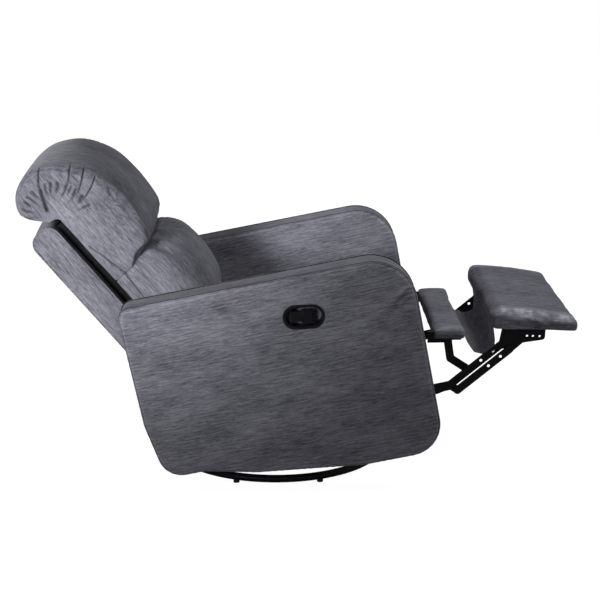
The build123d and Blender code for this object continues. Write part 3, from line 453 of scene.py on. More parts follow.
grainedLooks = {
    "dark_lining": {
        "coarse": (90, 90, 90),
        "fine": (900, 900, 900),
        # near-black cloth; kept this dark also as painted shade for the recess behind the pillows and
        # for the seam lines
        "stops": [(0.35, (0.004, 0.004, 0.005)), (0.65, (0.01, 0.01, 0.012))],
        "gloss": (0.85, 0.95),
        "relief": 0.5,
        "reliefDepth": 0.0008,
        "shine": 0.05,
    },
    "black_steel": {
        "coarse": (35, 35, 35),
        "fine": (700, 700, 700),
        "stops": [(0.3, (0.004, 0.004, 0.004)), (0.7, (0.01, 0.01, 0.011))],
        "gloss": (0.32, 0.52),
        "relief": 0.12,
        "reliefDepth": 0.0004,
        "shine": 0.07,
    },
    "bright_steel": {
        "coarse": (60, 60, 60),
        "fine": (500, 500, 500),
        "stops": [(0.3, (0.42, 0.42, 0.44)), (0.7, (0.62, 0.62, 0.63))],
        "gloss": (0.25, 0.45),
        "relief": 0.08,
        "reliefDepth": 0.0003,
        "shine": 0.5,
        "metal": 1.0,
    },
    "timber": {
        "coarse": (7, 60, 90),
        "fine": (40, 420, 500),
        "stops": [(0.32, (0.36, 0.24, 0.13)), (0.5, (0.55, 0.4, 0.24)), (0.68, (0.66, 0.51, 0.33))],
        "gloss": (0.6, 0.8),
        "relief": 0.25,
        "reliefDepth": 0.0006,
        "shine": 0.3,
    },
    "black_plastic": {
        "coarse": (40, 40, 40),
        "fine": (1400, 1400, 1400),
        "stops": [(0.3, (0.004, 0.004, 0.005)), (0.7, (0.009, 0.009, 0.01))],
        "gloss": (0.28, 0.42),
        "relief": 0.1,
        "reliefDepth": 0.0002,
        "shine": 0.06,
    },
    "rubber": {
        "coarse": (50, 50, 50),
        "fine": (800, 800, 800),
        "stops": [(0.3, (0.012, 0.012, 0.012)), (0.7, (0.026, 0.026, 0.026))],
        "gloss": (0.7, 0.85),
        "relief": 0.2,
        "reliefDepth": 0.0003,
        "shine": 0.2,
    },
}
finishes = {"upholstery": makeChenille("chenille", chenilleLook)}
for slot, look in grainedLooks.items():
    finishes[slot] = makeGrained(slot, look)
for part in frame["record"]["subparts"]:
    solid = cadNodes[part["node"]]
    solid.data.materials.clear()
    solid.data.materials.append(finishes[part["material_slot"]])
for node in ("link_pins", "carrier_rivets", "main_link_rivets", "handle_pin"):  # painted with the links
    cadNodes[node].data.materials[0] = finishes["black_steel"]
for node in ("footrest_board", "mid_board"):  # given the near-black lining finish instead of timber
    cadNodes[node].data.materials[0] = finishes["dark_lining"]
print("finishes ready")


def dress(piece, body, slot, *replaced):
    piece.data.materials.clear()
    piece.data.materials.append(finishes[slot])
    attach(piece, body)
    if replaced:
        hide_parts(*replaced)


def fitIn(piece, place, body, slot, *replaced):
    # from the piece's own frame to the chair's
    pick(piece)
    piece.matrix_world = place
    bpy.ops.object.transform_apply(location=True, rotation=True, scale=True)
    dress(piece, body, slot, *replaced)


# boxed covers: two flat panels joined by a band, with a rolled seam round each panel
def boxedCover(name, ring, marks, low, high, cover):
    count = len(ring)
    starts = [int(np.argmin(np.hypot(*(ring - np.array(mark)).T))) for mark in marks]
    spans = [(starts[(i + 1) % 4] - starts[i]) % count for i in range(4)]
    centre = ring.mean(0)
    piece = newGrid(name, *cover["cells"], size=2)
    rim = []
    tiny = 1e-6
    for vertex in piece.data.vertices:
        x, y = vertex.co.x, vertex.co.y
        out = max(abs(x), abs(y))
        if out < tiny:
            vertex.co = (centre[0], low, centre[1])
            continue
        x, y = x / out, y / out
        if y <= -1 + tiny:
            side, share = 0, (x + 1) / 2
        elif x >= 1 - tiny:
            side, share = 1, (y + 1) / 2
        elif y >= 1 - tiny:
            side, share = 2, (1 - x) / 2
        else:
            side, share = 3, (1 - y) / 2
        step = (starts[side] + share * spans[side]) % count
        first = int(step) % count
        edge = ring[first] + (step - int(step)) * (ring[(first + 1) % count] - ring[first])
        rimmed = 1 - (1 - out) ** cover["rimPull"]
        spot = centre + rimmed * (edge - centre)
        vertex.co = (spot[0], low, spot[1])
        if out > 1 - tiny:
            rim.append(vertex.index)
    half = len(piece.data.vertices)
    farRim = [i + half for i in rim]
    setMode("EDIT")
    bpy.ops.mesh.select_mode(type="VERT")
    bpy.ops.mesh.select_all(action="SELECT")
    bpy.ops.mesh.duplicate()
    bpy.ops.transform.translate(value=(0, high - low, 0))
    setMode("OBJECT")
    selectLoop(piece, set(rim + farRim))
    setMode("EDIT")
    bpy.ops.mesh.select_mode(type="EDGE")
    bpy.ops.mesh.bridge_edge_loops(number_cuts=cover["bandCuts"])
    bpy.ops.mesh.select_all(action="SELECT")
    bpy.ops.mesh.normals_make_consistent(inside=False)
    setMode("OBJECT")
    shapeCover(piece, ring, low, high, cover, half)
    return piece, (rim, farRim)


def shapeCover(piece, ring, low, high, cover, half):
    # rounds the panels towards their seams and crowns the band
    spots = points(piece)
    flat = spots[:, (0, 2)]
    gap = np.full(len(spots), np.inf)
    nearest = np.zeros(len(spots), int)
    for i, edge in enumerate(ring):
        away = np.hypot(*(flat - edge).T)
        closer = away < gap
        gap[closer] = away[closer]
        nearest[closer] = i
    run = np.roll(ring, -1, axis=0) - np.roll(ring, 1, axis=0)
    outward = np.stack([run[:, 1], -run[:, 0]], 1) / np.hypot(*run.T)[:, None]
    middle = ring.mean(0)
    if np.sum((ring - middle) * outward) < 0:
        outward = -outward
    panel = np.arange(len(spots)) < 2 * half
    side = np.where(spots[:, 1] < (low + high) / 2, 1.0, -1.0)
    fall = cover["panelFall"] * (1 - smoothStep(gap, 0, cover["panelFallReach"]))
    corner = cover["cornerRound"] * (1 - np.clip(gap / cover["cornerRound"], 0, 1)) ** 2
    spots[panel, 1] += (side * (fall + corner))[panel]
    share = np.abs(spots[:, 1] - (low + high) / 2) / ((high - low) / 2)
    squareness = 2.5
    crown = np.where(panel, 0, cover["bandCrown"] * (1 - share**squareness))
    spots[:, (0, 2)] += outward[nearest] * crown[:, None]
    movePoints(piece, spots)


def weltFrom(piece, loop, name, thickness):
    # the seam's own edge loop, copied off and given a round section
    pick(piece)
    selectLoop(piece, set(loop))
    before = set(bpy.data.objects)
    setMode("EDIT")
    bpy.ops.mesh.select_mode(type="EDGE")
    bpy.ops.mesh.duplicate()
    bpy.ops.mesh.separate(type="SELECTED")
    setMode("OBJECT")
    welt = next(o for o in bpy.data.objects if o not in before)
    welt.name = name
    pick(welt)
    bpy.ops.object.convert(target="CURVE")
    welt = bpy.context.object
    welt.data.bevel_depth = thickness
    welt.data.bevel_resolution = 2
    welt.data.use_fill_caps = True
    bpy.ops.object.convert(target="MESH")
    welt = bpy.context.object
    bpy.ops.object.shade_smooth()
    return welt


boxedCut = {"panelFacing": 0.72, "bandShift": 7.3, "panelShift": 3.1, "batch": 4000}


def boxedWeave(ring, turn=0.0):
    # panels keep one direction, the band follows the outline
    steps = np.hypot(*(np.roll(ring, -1, axis=0) - ring).T)
    reach = np.concatenate([[0], np.cumsum(steps)])[:-1]

    def rule(spots, facing):
        flat = spots[:, (0, 2)]
        panel = np.abs(facing[:, 1]) > boxedCut["panelFacing"]
        along = flat[:, 0] * math.cos(turn) + flat[:, 1] * math.sin(turn)
        across = -flat[:, 0] * math.sin(turn) + flat[:, 1] * math.cos(turn)
        bandIndex = np.zeros(len(spots), int)
        chosen = np.where(~panel)[0]
        for batch in np.array_split(chosen, max(1, len(chosen) // boxedCut["batch"])):
            away = ((flat[batch][:, None, :] - ring[None]) ** 2).sum(2)
            bandIndex[batch] = away.argmin(1)
        along = np.where(panel, along, reach[bandIndex] + boxedCut["bandShift"])
        shifted = across + np.sign(facing[:, 1]) * boxedCut["panelShift"]
        return along, np.where(panel, shifted, spots[:, 1])

    return rule


armCover = {
    "corners": (
        (0.413, 0.043),
        (0.21, 0.043),
        (-0.06, 0.077),
        (-0.186, 0.106),
        (-0.284, 0.106),
        (-0.3095, 0.25),
        (-0.314, 0.552),
        (0.413, 0.552),
    ),
    "panelMarks": (4, 0, 7, 6),
    "rounds": (0.078, 0.042, 0.042, 0.042, 0.058, 0.15, 0.028, 0.112),
    "ringSteps": 720,
    "inner": 0.27,
    "outer": 0.37,
    "cells": (84, 60),
    "bandCuts": 12,
    "rimPull": 1.12,
    "panelFall": 0.0035,
    "panelFallReach": 0.05,
    "cornerRound": 0.006,
    "bandCrown": 0.002,
    "weltRadius": 0.0024,
    "seamShadeRadius": 0.0019,
    "seamShadeSet": 0.0042,
    "seamShadeRise": 1.003,
    "sideFacing": (0.6, 0.95),
    "slackWave": ((0.35, 0.2, 1.0), 0.05, 4.0),
    "slackHeight": 0.0011,
    "creaseDepth": 0.0042,
    "creaseShadeTone": 0.45,
    "paintedHighlightTone": 0.2,
    "highlightFacing": (0.82, 0.14),
    "bandShadeTone": 0.33,
    "bandFacing": (0.35, 0.75),
    "bandRise": (0.2, 0.6),
    "bandFade": (-0.08, 0.22),
    "pullWidth": 0.005,
    "pulls": (
        (0.372, 0.4495, 0.5, 0.022, 1.0),
        (0.385, 0.4375, 0.42, 0.014, 0.7),
        (0.378, 0.4665, 0.55, 0.014, -0.7),
        (0.352, 0.4305, 0.5, 0.02, 0.45),
    ),
}
armRing = evenRing(roundedRing(armCover["corners"], armCover["rounds"]), armCover["ringSteps"])[::-1]
armMarks = [armCover["corners"][i] for i in armCover["panelMarks"]]
leverCup = {
    "place": (0.132, 0.451),
    "turn": 8.0,
    "length": 0.097,
    "height": 0.055,
    "depth": 0.06,
    "sides": 48,
}


def pullWrinkles(piece, outerSide):
    # short pulls near the front of the arm top, and slack over the outer panel; the cloth's colour gets
    # painted shade in the pulls and on the top band, and a painted highlight along the panel edges
    spots = points(piece)
    facing = normals(piece)
    side = smoothStep(facing[:, 1] * outerSide, *armCover["sideFacing"])
    x, z = spots[:, 0], spots[:, 2]
    depth = np.zeros(len(spots))
    for px, pz, slope, length, strength in armCover["pulls"]:
        run = (x - px) * math.cos(slope) + (z - pz) * math.sin(slope)
        off = -(x - px) * math.sin(slope) + (z - pz) * math.cos(slope)
        depth += strength * bump(off, 0, armCover["pullWidth"]) * bump(run, 0, length)
    slack = ripple(spots, armCover["slackWave"]) * armCover["slackHeight"]
    pushAlongNormals(piece, side * (slack - armCover["creaseDepth"] * depth))
    sideways = np.abs(facing[:, 1])
    # painted highlight: the rounded edge of each panel, beside its seam, is lightened
    highlight = bump(sideways, *armCover["highlightFacing"])
    band = 1 - smoothStep(sideways, *armCover["bandFacing"])
    band *= smoothStep(facing[:, 2], *armCover["bandRise"])
    band *= 1 - smoothStep(x, *armCover["bandFade"])  # painted shade: the top band is darkened, most at the rear, fading out towards the front
    # painted shade in the pulls, painted highlight on the panel edges
    tone = side * armCover["creaseShadeTone"] * depth - armCover["paintedHighlightTone"] * highlight
    paintShading(piece, tone + armCover["bandShadeTone"] * band)


for hand, sign in (("right", -1), ("left", 1)):
    low, high = sorted((sign * armCover["inner"], sign * armCover["outer"]))
    arm, loops = boxedCover("armUpholstery_" + hand, armRing, armMarks, low, high, armCover)
    middle = np.array([armRing[:, 0].mean(), 0, armRing[:, 1].mean()])
    rise = np.array([armCover["seamShadeRise"], 1, armCover["seamShadeRise"]])
    welts, seamShades = [], []
    for loop, edge, inward in zip(loops, ("near", "far"), (1, -1)):
        welts.append(weltFrom(arm, loop, "armWelt_" + hand + "_" + edge, armCover["weltRadius"]))
        # painted shade: a thin near-black tube set just inside each welt stands in for the shade line
        # along the seam
        shadedSeam = weltFrom(arm, loop, "armSeam_" + hand + "_" + edge, armCover["seamShadeRadius"])
        risen = (points(shadedSeam) - middle) * rise + middle
        movePoints(shadedSeam, risen + np.array([0, inward * armCover["seamShadeSet"], 0]))
        seamShades.append(shadedSeam)
    subdivideOnce(arm)
    pullWrinkles(arm, sign)
    if hand == "right":
        deselectAll()
        bpy.ops.mesh.primitive_cylinder_add(
            vertices=leverCup["sides"],
            radius=leverCup["height"] / 2,
            depth=leverCup["depth"],
            rotation=(math.pi / 2, 0, 0),
        )
        cutter = bpy.context.object
        bpy.ops.object.transform_apply(rotation=True)
        spread = (leverCup["length"] - leverCup["height"]) / 2
        for vertex in cutter.data.vertices:
            vertex.co.x += math.copysign(spread, vertex.co.x)
        cutter.matrix_world = (
            Matrix.Translation((leverCup["place"][0], sign * armCover["outer"], leverCup["place"][1]))
            @ leanBack(-leverCup["turn"])
        )
        opening = arm.modifiers.new("cup", "BOOLEAN")
        opening.operation = "DIFFERENCE"
        opening.solver = "MANIFOLD"
        opening.object = cutter
        applyModifiers(arm)
        bpy.data.objects.remove(cutter)
    layWeave(arm, boxedWeave(armRing))
    fitIn(arm, chairPlace, "chassis", "upholstery", "arm_cover_" + hand)
    for welt in welts:
        layWeave(welt, boxedWeave(armRing))
        fitIn(welt, chairPlace, "chassis", "upholstery")
    # the painted-shade tubes along the seams take the near-black lining finish
    for shadedSeam in seamShades:
        fitIn(shadedSeam, chairPlace, "chassis", "dark_lining")
print("arms covered")


def boxAcross(name, cover):
    # a cover with a rounded box as its outline, across the whole seat
    rear, front, low, top = (cover[edge] for edge in ("rear", "front", "low", "top"))
    corners = [(rear, low), (front, low), (front, top), (rear, top)]
    ring = evenRing(roundedRing(corners, cover["rounds"], cover["roundSteps"]), cover["ringSteps"])
    piece, loops = boxedCover(name, ring, corners, -cover["half"], cover["half"], cover)
    return piece, loops, ring


backCover = {
    "rear": -0.078,
    "front": -0.005,
    "low": -0.02,
    "top": 0.564,
    "half": 0.255,
    "rounds": (0.009, 0.009, 0.028, 0.03),
    "roundSteps": 10,
    "ringSteps": 520,
    "cells": (16, 96),
    "bandCuts": 56,
    "rimPull": 1.1,
    "panelFall": 0.002,
    "panelFallReach": 0.03,
    "cornerRound": 0.006,
    "bandCrown": 0.006,
    "weltRadius": 0.0022,
    "slackWave": ((1, 0.5, 0.5), 0.06, 9.0),
    "slackHeight": 0.0012,
}
back, loops, backRing = boxAcross("backUpholstery", backCover)
backWelts = [
    weltFrom(back, loop, "backWelt_" + hand, backCover["weltRadius"])
    for loop, hand in zip(loops, ("right", "left"))
]
subdivideOnce(back)
slacken(back, backCover)
layWeave(back, boxedWeave(backRing, math.pi / 2))
fitIn(back, backPlace, "back", "upholstery", "back_shell")
for welt in backWelts:
    layWeave(welt, boxedWeave(backRing, math.pi / 2))
    fitIn(welt, backPlace, "back", "upholstery")
print("back covered")

# set-back sheet between the back and its pillows, in place of the spacer, near-black as painted shade
# for that recess
plainBox = {"roundSteps": 4, "ringSteps": 300, "rimPull": 1.0, "panelFallReach": 0.01, "bandCrown": 0.0}
recessShadePad = {
    **plainBox,
    "rear": -0.0045,
    "front": 0.0205,
    "low": 0.11,
    "top": 0.546,
    "half": 0.218,
    "rounds": (0.003, 0.003, 0.003, 0.003),
    "cells": (6, 60),
    "bandCuts": 40,
    "panelFall": 0.001,
    "cornerRound": 0.003,
}
recessShade = boxAcross("backLining", recessShadePad)[0]
bpy.ops.object.shade_smooth()
fitIn(recessShade, backPlace, "back", "dark_lining", "back_spacer")

# low panel across the rear
apronPanel = {
    **plainBox,
    "rear": -0.3,
    "front": -0.284,
    "low": 0.114,
    "top": 0.232,
    "half": 0.2697,
    "rounds": (0.005, 0.005, 0.006, 0.006),
    "cells": (4, 26),
    "bandCuts": 70,
    "panelFall": 0.0,
    "cornerRound": 0.002,
    "slackWave": ((1, 0.3, 1), 0.045, 2.0),
    "slackHeight": 0.0012,
}
apron = boxAcross("rearApron", apronPanel)[0]
subdivideOnce(apron)
slacken(apron, apronPanel)
layWeave(apron, lambda spots, facing: (spots[:, 1], spots[:, 2] + spots[:, 0]))
fitIn(apron, chairPlace, "chassis", "upholstery", "rear_apron")
print("apron done")

headrest = {
    "front": 0.165,
    "top": 0.679,
    "rear": -0.052,
    "low": 0.366,
    "heel": 0.3495,
    "slit": 0.074,
    "crown": 0.016,
    "shoulder": 0.146,
    "brow": (0.0215, 0.081),
    "crest": 0.104,
    "nape": (0.0225, 0.0125),
    "drop": 0.046,
    "lip": 0.015,
    "lobe": (-0.041, 0.602),
    "under": (-0.012, 0.577),
    "seat": 0.021,
    "notch": 0.5655,
    "napeBow": 0.0015,
    "half": 0.25,
    "endInset": 0.03,
    "stations": (
        (0.25, 0, 1),
        (0.6, 0, 0.7),
        (0.88, 0, 0.15),
        (0.95, 0.2, 0),
        (0.985, 0.55, 0),
        (1, 1, 0),
    ),
    "voxel": 0.006,
    "relax": 3,
    "shrink": -0.02,
    "cap": 0.006,
    "heldTop": 0.568,
    "fineFrom": (0.18, 0.5, 0.12),
    "slackWave": ((1, 0.4, 1), 0.07, 6.0),
    "slackHeight": 0.0018,
    "weaveCentre": (0.06, 0.55),
    "weaveRadius": 0.14,
    "weaveThin": 0.5,
    "endFacing": 0.75,
    "endShift": 5.0,
}


def headrestProfile(inset, swell):
    front = headrest["front"] + swell - inset
    top = headrest["top"] + swell / 3 - inset
    rear = headrest["rear"] + inset
    lip, low = headrest["lip"], headrest["low"]
    seat, notch = headrest["seat"], headrest["notch"]
    slit = (headrest["slit"], headrest["heel"])
    toe = (front - lip, low + lip / 2)
    shoulder = (front - lip / 5, top - headrest["shoulder"])
    crest = (front - headrest["crest"], top)
    nape = (rear, top - headrest["drop"])
    lobe = (headrest["lobe"][0] + inset, headrest["lobe"][1] + inset / 3)
    route = [(seat, headrest["heel"])]
    route += arc(slit, ((slit[0] + toe[0]) / 2, low), toe, 16)
    route += arc(toe, (front, (toe[1] + shoulder[1]) / 2), shoulder, 24)
    brow = (front - headrest["brow"][0], top - headrest["brow"][1])
    napeTurn = (rear + headrest["nape"][0], top - headrest["nape"][1])
    route += arc(shoulder, brow, crest, 20)
    route += arc(crest, napeTurn, nape, 16)
    route += arc(nape, (rear + headrest["napeBow"], (nape[1] + lobe[1]) / 2), lobe, 8)
    route += [lobe, headrest["under"], (headrest["under"][0], notch), (seat, notch)]
    return evenRing(route, 160)


def ringsAlong(profileAt, stations, half):
    # the stations run from the middle out and stand on both sides
    rings = []
    mirrored = [(-share, *form) for share, *form in reversed(stations) if share]
    for share, *form in mirrored + list(stations):
        rings.append([(t, share * half, s) for t, s in profileAt(*form)])
    return rings


head = sleeve(
    "headrestCushion",
    ringsAlong(
        lambda inset, swell: headrestProfile(inset * headrest["endInset"], swell * headrest["crown"]),
        headrest["stations"],
        headrest["half"],
    ),
)
heldBefore = headrest["seat"] + cushionFill["heldReach"]
plump(
    head,
    headrest,
    lambda spots: np.where((spots[:, 0] < heldBefore) & (spots[:, 2] < headrest["heldTop"]), 0.0, 1.0),
)

# gathers fan out of the notch to a seam, and four darts run on over the end's round
sewn = {
    "centre": (0.019, 0.566),
    "endReach": (0.17, 0.215),
    "endFacing": (0.05, 0.3),
    "seamReach": 0.089,
    "darts": ((1.34, 1.16), (0.53, 0.63), (0.17, 0.37), (-0.08, 0.11)),
    "dartEnd": 0.142,
    "dartDepth": 0.0034,
    "dartWidth": 0.0022,
    "dartFade": (0.012, 0.008),
    "pleats": (-0.3, -0.05, 0.2, 0.42, 0.6, 0.82, 1.0, 1.17, 1.58, 1.8, 2.02, 2.24, 2.5),
    "pleatDepth": 0.0032,
    "pleatWidth": 0.0034,
    "pleatStart": 0.04,
    "pleatStagger": (0.012, 3.7),
    "pleatFull": 0.012,
    "pleatFade": (0.003, 0.004),
    "wobbleWave": ((1, 1, 1), 0.03, 1.0),
    "wobble": 0.1,
    "fanStart": (-0.35, -0.1),
    "fanEnd": (2.5, 2.8),
    "ridgePast": 0.003,
    "ridgeWidth": 0.004,
    "ridgeHeight": 0.0012,
    "deepFold": ((0.036, 0.643), (0.024, 0.618), (0.013, 0.594)),
    "deepFoldDepth": 0.006,
    "deepFoldWidth": 0.004,
    "sideSeam": ((0.03, 0.46), (0.043, 0.4176), (0.0559, 0.3531), (0.0492, 0.2776), (0.047, 0.2)),
    "sideSeamDepth": 0.0016,
    "sideSeamWidth": 0.0022,
    "shadeTones": (0.55, 0.5, 0.7, 0.6),
}


def sewEnds(piece):
    # folds on both ends of a pillow, each also painted darker as painted shade, the deeper ones more
    spots = points(piece)
    t, y, s = spots.T
    reach = np.hypot(t - sewn["centre"][0], s - sewn["centre"][1])
    angle = np.arctan2(s - sewn["centre"][1], t - sewn["centre"][0])
    atEnd = smoothStep(np.abs(y), *sewn["endReach"])
    atEnd *= smoothStep(np.abs(normals(piece)[:, 1]), *sewn["endFacing"])
    seamReach, dartEnd = sewn["seamReach"], sewn["dartEnd"]
    along = np.clip((reach - seamReach) / (dartEnd - seamReach), 0, 1)
    dart = np.zeros(len(spots))
    for inner, outer in sewn["darts"]:
        off = (angle - inner - along * (outer - inner)) * reach
        dart = np.maximum(dart, bump(off, 0, sewn["dartWidth"]))
    before, after = sewn["dartFade"]
    dart *= smoothStep(reach, seamReach - before, seamReach)
    dart *= 1 - smoothStep(reach, dartEnd - after, dartEnd)
    wobble = ripple(spots, sewn["wobbleWave"]) * sewn["wobble"]
    pleat = np.zeros(len(spots))
    stagger, beat = sewn["pleatStagger"]
    before, after = sewn["pleatFade"]
    faded = 1 - smoothStep(reach, seamReach - before, seamReach + after)
    for i, place in enumerate(sewn["pleats"]):
        start = seamReach - sewn["pleatStart"] - stagger * math.sin(beat * i)
        zone = smoothStep(reach, start, seamReach - sewn["pleatFull"]) * faded
        off = (angle - place + wobble) * reach
        pleat = np.maximum(pleat, bump(off, 0, sewn["pleatWidth"]) * zone)
    fan = smoothStep(angle, *sewn["fanStart"]) * (1 - smoothStep(angle, *sewn["fanEnd"]))
    ridge = bump(reach, seamReach + sewn["ridgePast"], sewn["ridgeWidth"]) * fan
    deep = bump(awayFromLine(t, s, sewn["deepFold"]), 0, sewn["deepFoldWidth"])
    shadedSeam = bump(awayFromLine(t, s, sewn["sideSeam"]), 0, sewn["sideSeamWidth"])
    push = sewn["dartDepth"] * dart + sewn["pleatDepth"] * pleat + sewn["deepFoldDepth"] * deep
    push += sewn["sideSeamDepth"] * shadedSeam - sewn["ridgeHeight"] * ridge
    pushAlongNormals(piece, -push * atEnd)
    # painted shade in the folds, returned for the cloth's colour
    shades = [tone * fold for tone, fold in zip(sewn["shadeTones"], (dart, pleat, deep, shadedSeam))]
    return atEnd * np.maximum.reduce(shades)


def nearGathers(place, facing):
    side, height, turned = headrest["fineFrom"]
    return abs(place.y) > side and place.z > height and abs(facing.y) > turned


def rollWeave(spots, facing):
    # slubs run over the roll from front to rear, thin across its length
    t, y, s = spots.T
    turn = np.arctan2(s - headrest["weaveCentre"][1], t - headrest["weaveCentre"][0])
    end = np.abs(facing[:, 1]) > headrest["endFacing"]
    along = np.where(end, s, turn * headrest["weaveRadius"])
    across = np.where(end, t + headrest["endShift"], y * headrest["weaveThin"])
    return along, across


subdivideWhere(head, nearGathers)
slacken(head, headrest)
paintShading(head, sewEnds(head))
layWeave(head, rollWeave)
fitIn(head, backPlace, "back", "upholstery", "headrest_pillow")
print("headrest done")

lumbar = {
    "low": 0.115,
    "top": 0.35,
    "front": 0.197,
    "end": 0.106,
    "nose": 0.034,
    "brow": 0.019,
    "seat": 0.021,
    "half": 0.25,
    "stations": ((0.25, 1), (0.6, 0.83), (0.85, 0.55), (0.95, 0.28), (1, 0)),
    "voxel": 0.006,
    "relax": 5,
    "shrink": -0.02,
    "cap": 0.008,
    "slackWave": ((1, 1, 0.35), 0.045, 3.0),
    "slackHeight": 0.0026,
    "weaveThin": 0.5,
}


def lumbarProfile(bulge):
    front = lumbar["end"] + bulge * (lumbar["front"] - lumbar["end"])
    low, top, nose, seat = lumbar["low"], lumbar["top"], lumbar["nose"], lumbar["seat"]
    brow = (front - lumbar["brow"], top)
    route = [(seat, top), (seat, low)]
    route += arc((front - nose, low), (front, (low + top) / 2), brow, 40)
    route += [brow]
    return evenRing(route, 120)


def lumbarWeave(spots, facing):
    return spots[:, 2], spots[:, 0] - lumbar["weaveThin"] * np.abs(spots[:, 1])


lumbarCushion = sleeve("lumbarCushion", ringsAlong(lumbarProfile, lumbar["stations"], lumbar["half"]))
heldBehind = lumbar["seat"] + cushionFill["heldReach"]
plump(lumbarCushion, lumbar, lambda spots: np.where(spots[:, 0] < heldBehind, 0.0, 1.0))
slacken(lumbarCushion, lumbar)
paintShading(lumbarCushion, sewEnds(lumbarCushion))
layWeave(lumbarCushion, lumbarWeave)
fitIn(lumbarCushion, backPlace, "back", "upholstery", "lumbar_pillow")
print("lumbar done")

seat = {
    "front": 0.406,
    "rear": -0.13,
    "deck": 0.3312,
    "lipFace": 0.3645,
    "lip": 0.3055,
    "topFront": 0.422,
    "topRear": 0.382,
    "crown": 0.01,
    "edgeDrop": 0.024,
    "nose": 0.062,
    "browDrop": 0.043,
    "crestTurn": (0.028, 0.011),
    "half": 0.26,
    "stations": ((0.2, -0.3), (0.6, -0.1), (0.9, 0.2), (0.97, 0.5), (1, 1)),
    "voxel": 0.0075,
    "relax": 4,
    "shrink": -0.02,
    "cap": 0.006,
    "heldFront": 0.37,
    "slackWave": ((1, 1, 1), 0.06, 5.0),
    "slackHeight": 0.0014,
}


def seatProfile(drop):
    front, rear = seat["front"], seat["rear"]
    noseTop = seat["topFront"] - drop * seat["edgeDrop"]
    rearTop = seat["topRear"] - drop * seat["edgeDrop"]
    nose = seat["nose"]
    route = [(rear, rearTop), (rear, seat["deck"]), (seat["lipFace"], seat["deck"])]
    route += [(seat["lipFace"], seat["lip"])]
    chin, brow = (front - nose / 4, seat["lip"]), (front - nose / 6, noseTop - seat["browDrop"])
    crest = (front - nose, noseTop)
    crestTurn = (front - seat["crestTurn"][0], noseTop - seat["crestTurn"][1])
    middle = ((front + rear) / 2, (noseTop + rearTop) / 2 + seat["crown"])
    route += arc(chin, (front, (seat["lip"] + noseTop) / 2), brow, 14)
    route += arc(brow, crestTurn, crest, 14)
    route += arc(crest, middle, (rear, rearTop), 40)
    return evenRing(route, 200)


seatCushion = sleeve("seatCushion", ringsAlong(seatProfile, seat["stations"], seat["half"]))
heldBelow = seat["deck"] + cushionFill["heldReach"]
plump(
    seatCushion,
    seat,
    lambda spots: np.where((spots[:, 2] < heldBelow) & (spots[:, 0] < seat["heldFront"]), 0.0, 1.0),
)
slacken(seatCushion, seat)
layWeave(seatCushion, lambda spots, facing: (spots[:, 0] - spots[:, 2], spots[:, 1]))
fitIn(seatCushion, chairPlace, "chassis", "upholstery", "seat_cushion")
print("seat done")

webbing = {
    "rear": -0.16,
    "front": 0.364,
    "base": 0.3286,
    "thick": 0.0018,
    "edge": 0.0004,
    "width": 0.05,
    "pitch": 0.08,
    "count": 5,
    "cells": (60, 4),
}
webStraps = newGrid("seatStraps", *webbing["cells"])
length = webbing["front"] - webbing["rear"]
first = -(webbing["count"] - 1) / 2 * webbing["pitch"]
for vertex in webStraps.data.vertices:
    x, y = vertex.co.x, vertex.co.y
    vertex.co = (webbing["rear"] + (x + 0.5) * length, first + y * webbing["width"], webbing["base"])
thicken = webStraps.modifiers.new("thicken", "SOLIDIFY")
thicken.thickness = webbing["thick"]
thicken.offset = 1
rounded = webStraps.modifiers.new("rounded", "BEVEL")
rounded.width = webbing["edge"]
row = webStraps.modifiers.new("row", "ARRAY")
row.count = webbing["count"]
row.use_relative_offset = False
row.use_constant_offset = True
row.constant_offset_displace = (0, webbing["pitch"], 0)
applyModifiers(webStraps)
fitIn(webStraps, chairPlace, "chassis", "dark_lining", "seat_webbing")
print("webbing laid")

eitherPad = {
    "stations": ((0, 0, 1.3), (0.85, 0, 1), (0.97, 0.08, 0.8), (0.99, 0.4, 0.6), (1, 1, 0.4)),
    "base": 0.0006,
    "crownFrom": (0.3, 0.7),
    "relax": 2,
    "shrink": -0.01,
    "freeFrom": (0.002, 0.012),
    "slackWave": ((0.6, 1, 1), 0.04, 8.0),
    "slackHeight": 0.0012,
    "highlightFrom": 0.008,
    "highlightFacing": (0.05, 0.5),
    "broadPatches": ((1, 1, 1), 0.035, 2.5),
    "smallPatches": ((1, 0.5, 1), 0.012, 4.0),
    "smallShare": 0.8,
    "patchLevel": 0.62,
    "patchSwing": 0.5,
    "weaveThin": 0.5,
}
footPad = {
    **eitherPad,
    "start": -0.009,
    "end": 0.209,
    "heel": 0.046,
    "toe": 0.027,
    "rounds": (0.006, 0.007, 0.011, 0.016),
    "crown": 0.006,
    "inset": 0.007,
    "half": 0.263,
    "paintedHighlightTone": 1.0,
    "highlightReach": 0.06,
    "voxel": 0.005,
    "cap": 0.005,
}
midPad = {
    **eitherPad,
    "start": -0.003,
    "end": 0.079,
    "heel": 0.026,
    "toe": 0.026,
    "rounds": (0.004, 0.004, 0.009, 0.009),
    "crown": 0.003,
    "inset": 0.005,
    "half": 0.219,
    "paintedHighlightTone": 0.5,
    "highlightReach": 0.04,
    "voxel": 0.0045,
    "cap": 0.004,
}


def padProfile(pad, inset, swell):
    inset = inset * pad["inset"]
    start, end, base = pad["start"] + inset, pad["end"] - inset, pad["base"]
    corners = [(start, base), (end, base), (end, pad["toe"] - inset), (start, pad["heel"] - inset)]
    ring = evenRing(roundedRing(corners, pad["rounds"], 8), 140)
    share = np.clip((ring[:, 0] - start) / (end - start), 0, 1)
    above = smoothStep(ring[:, 1], *(part * pad["toe"] for part in pad["crownFrom"]))
    ring[:, 1] += pad["crown"] * swell * 4 * share * (1 - share) * above
    return ring


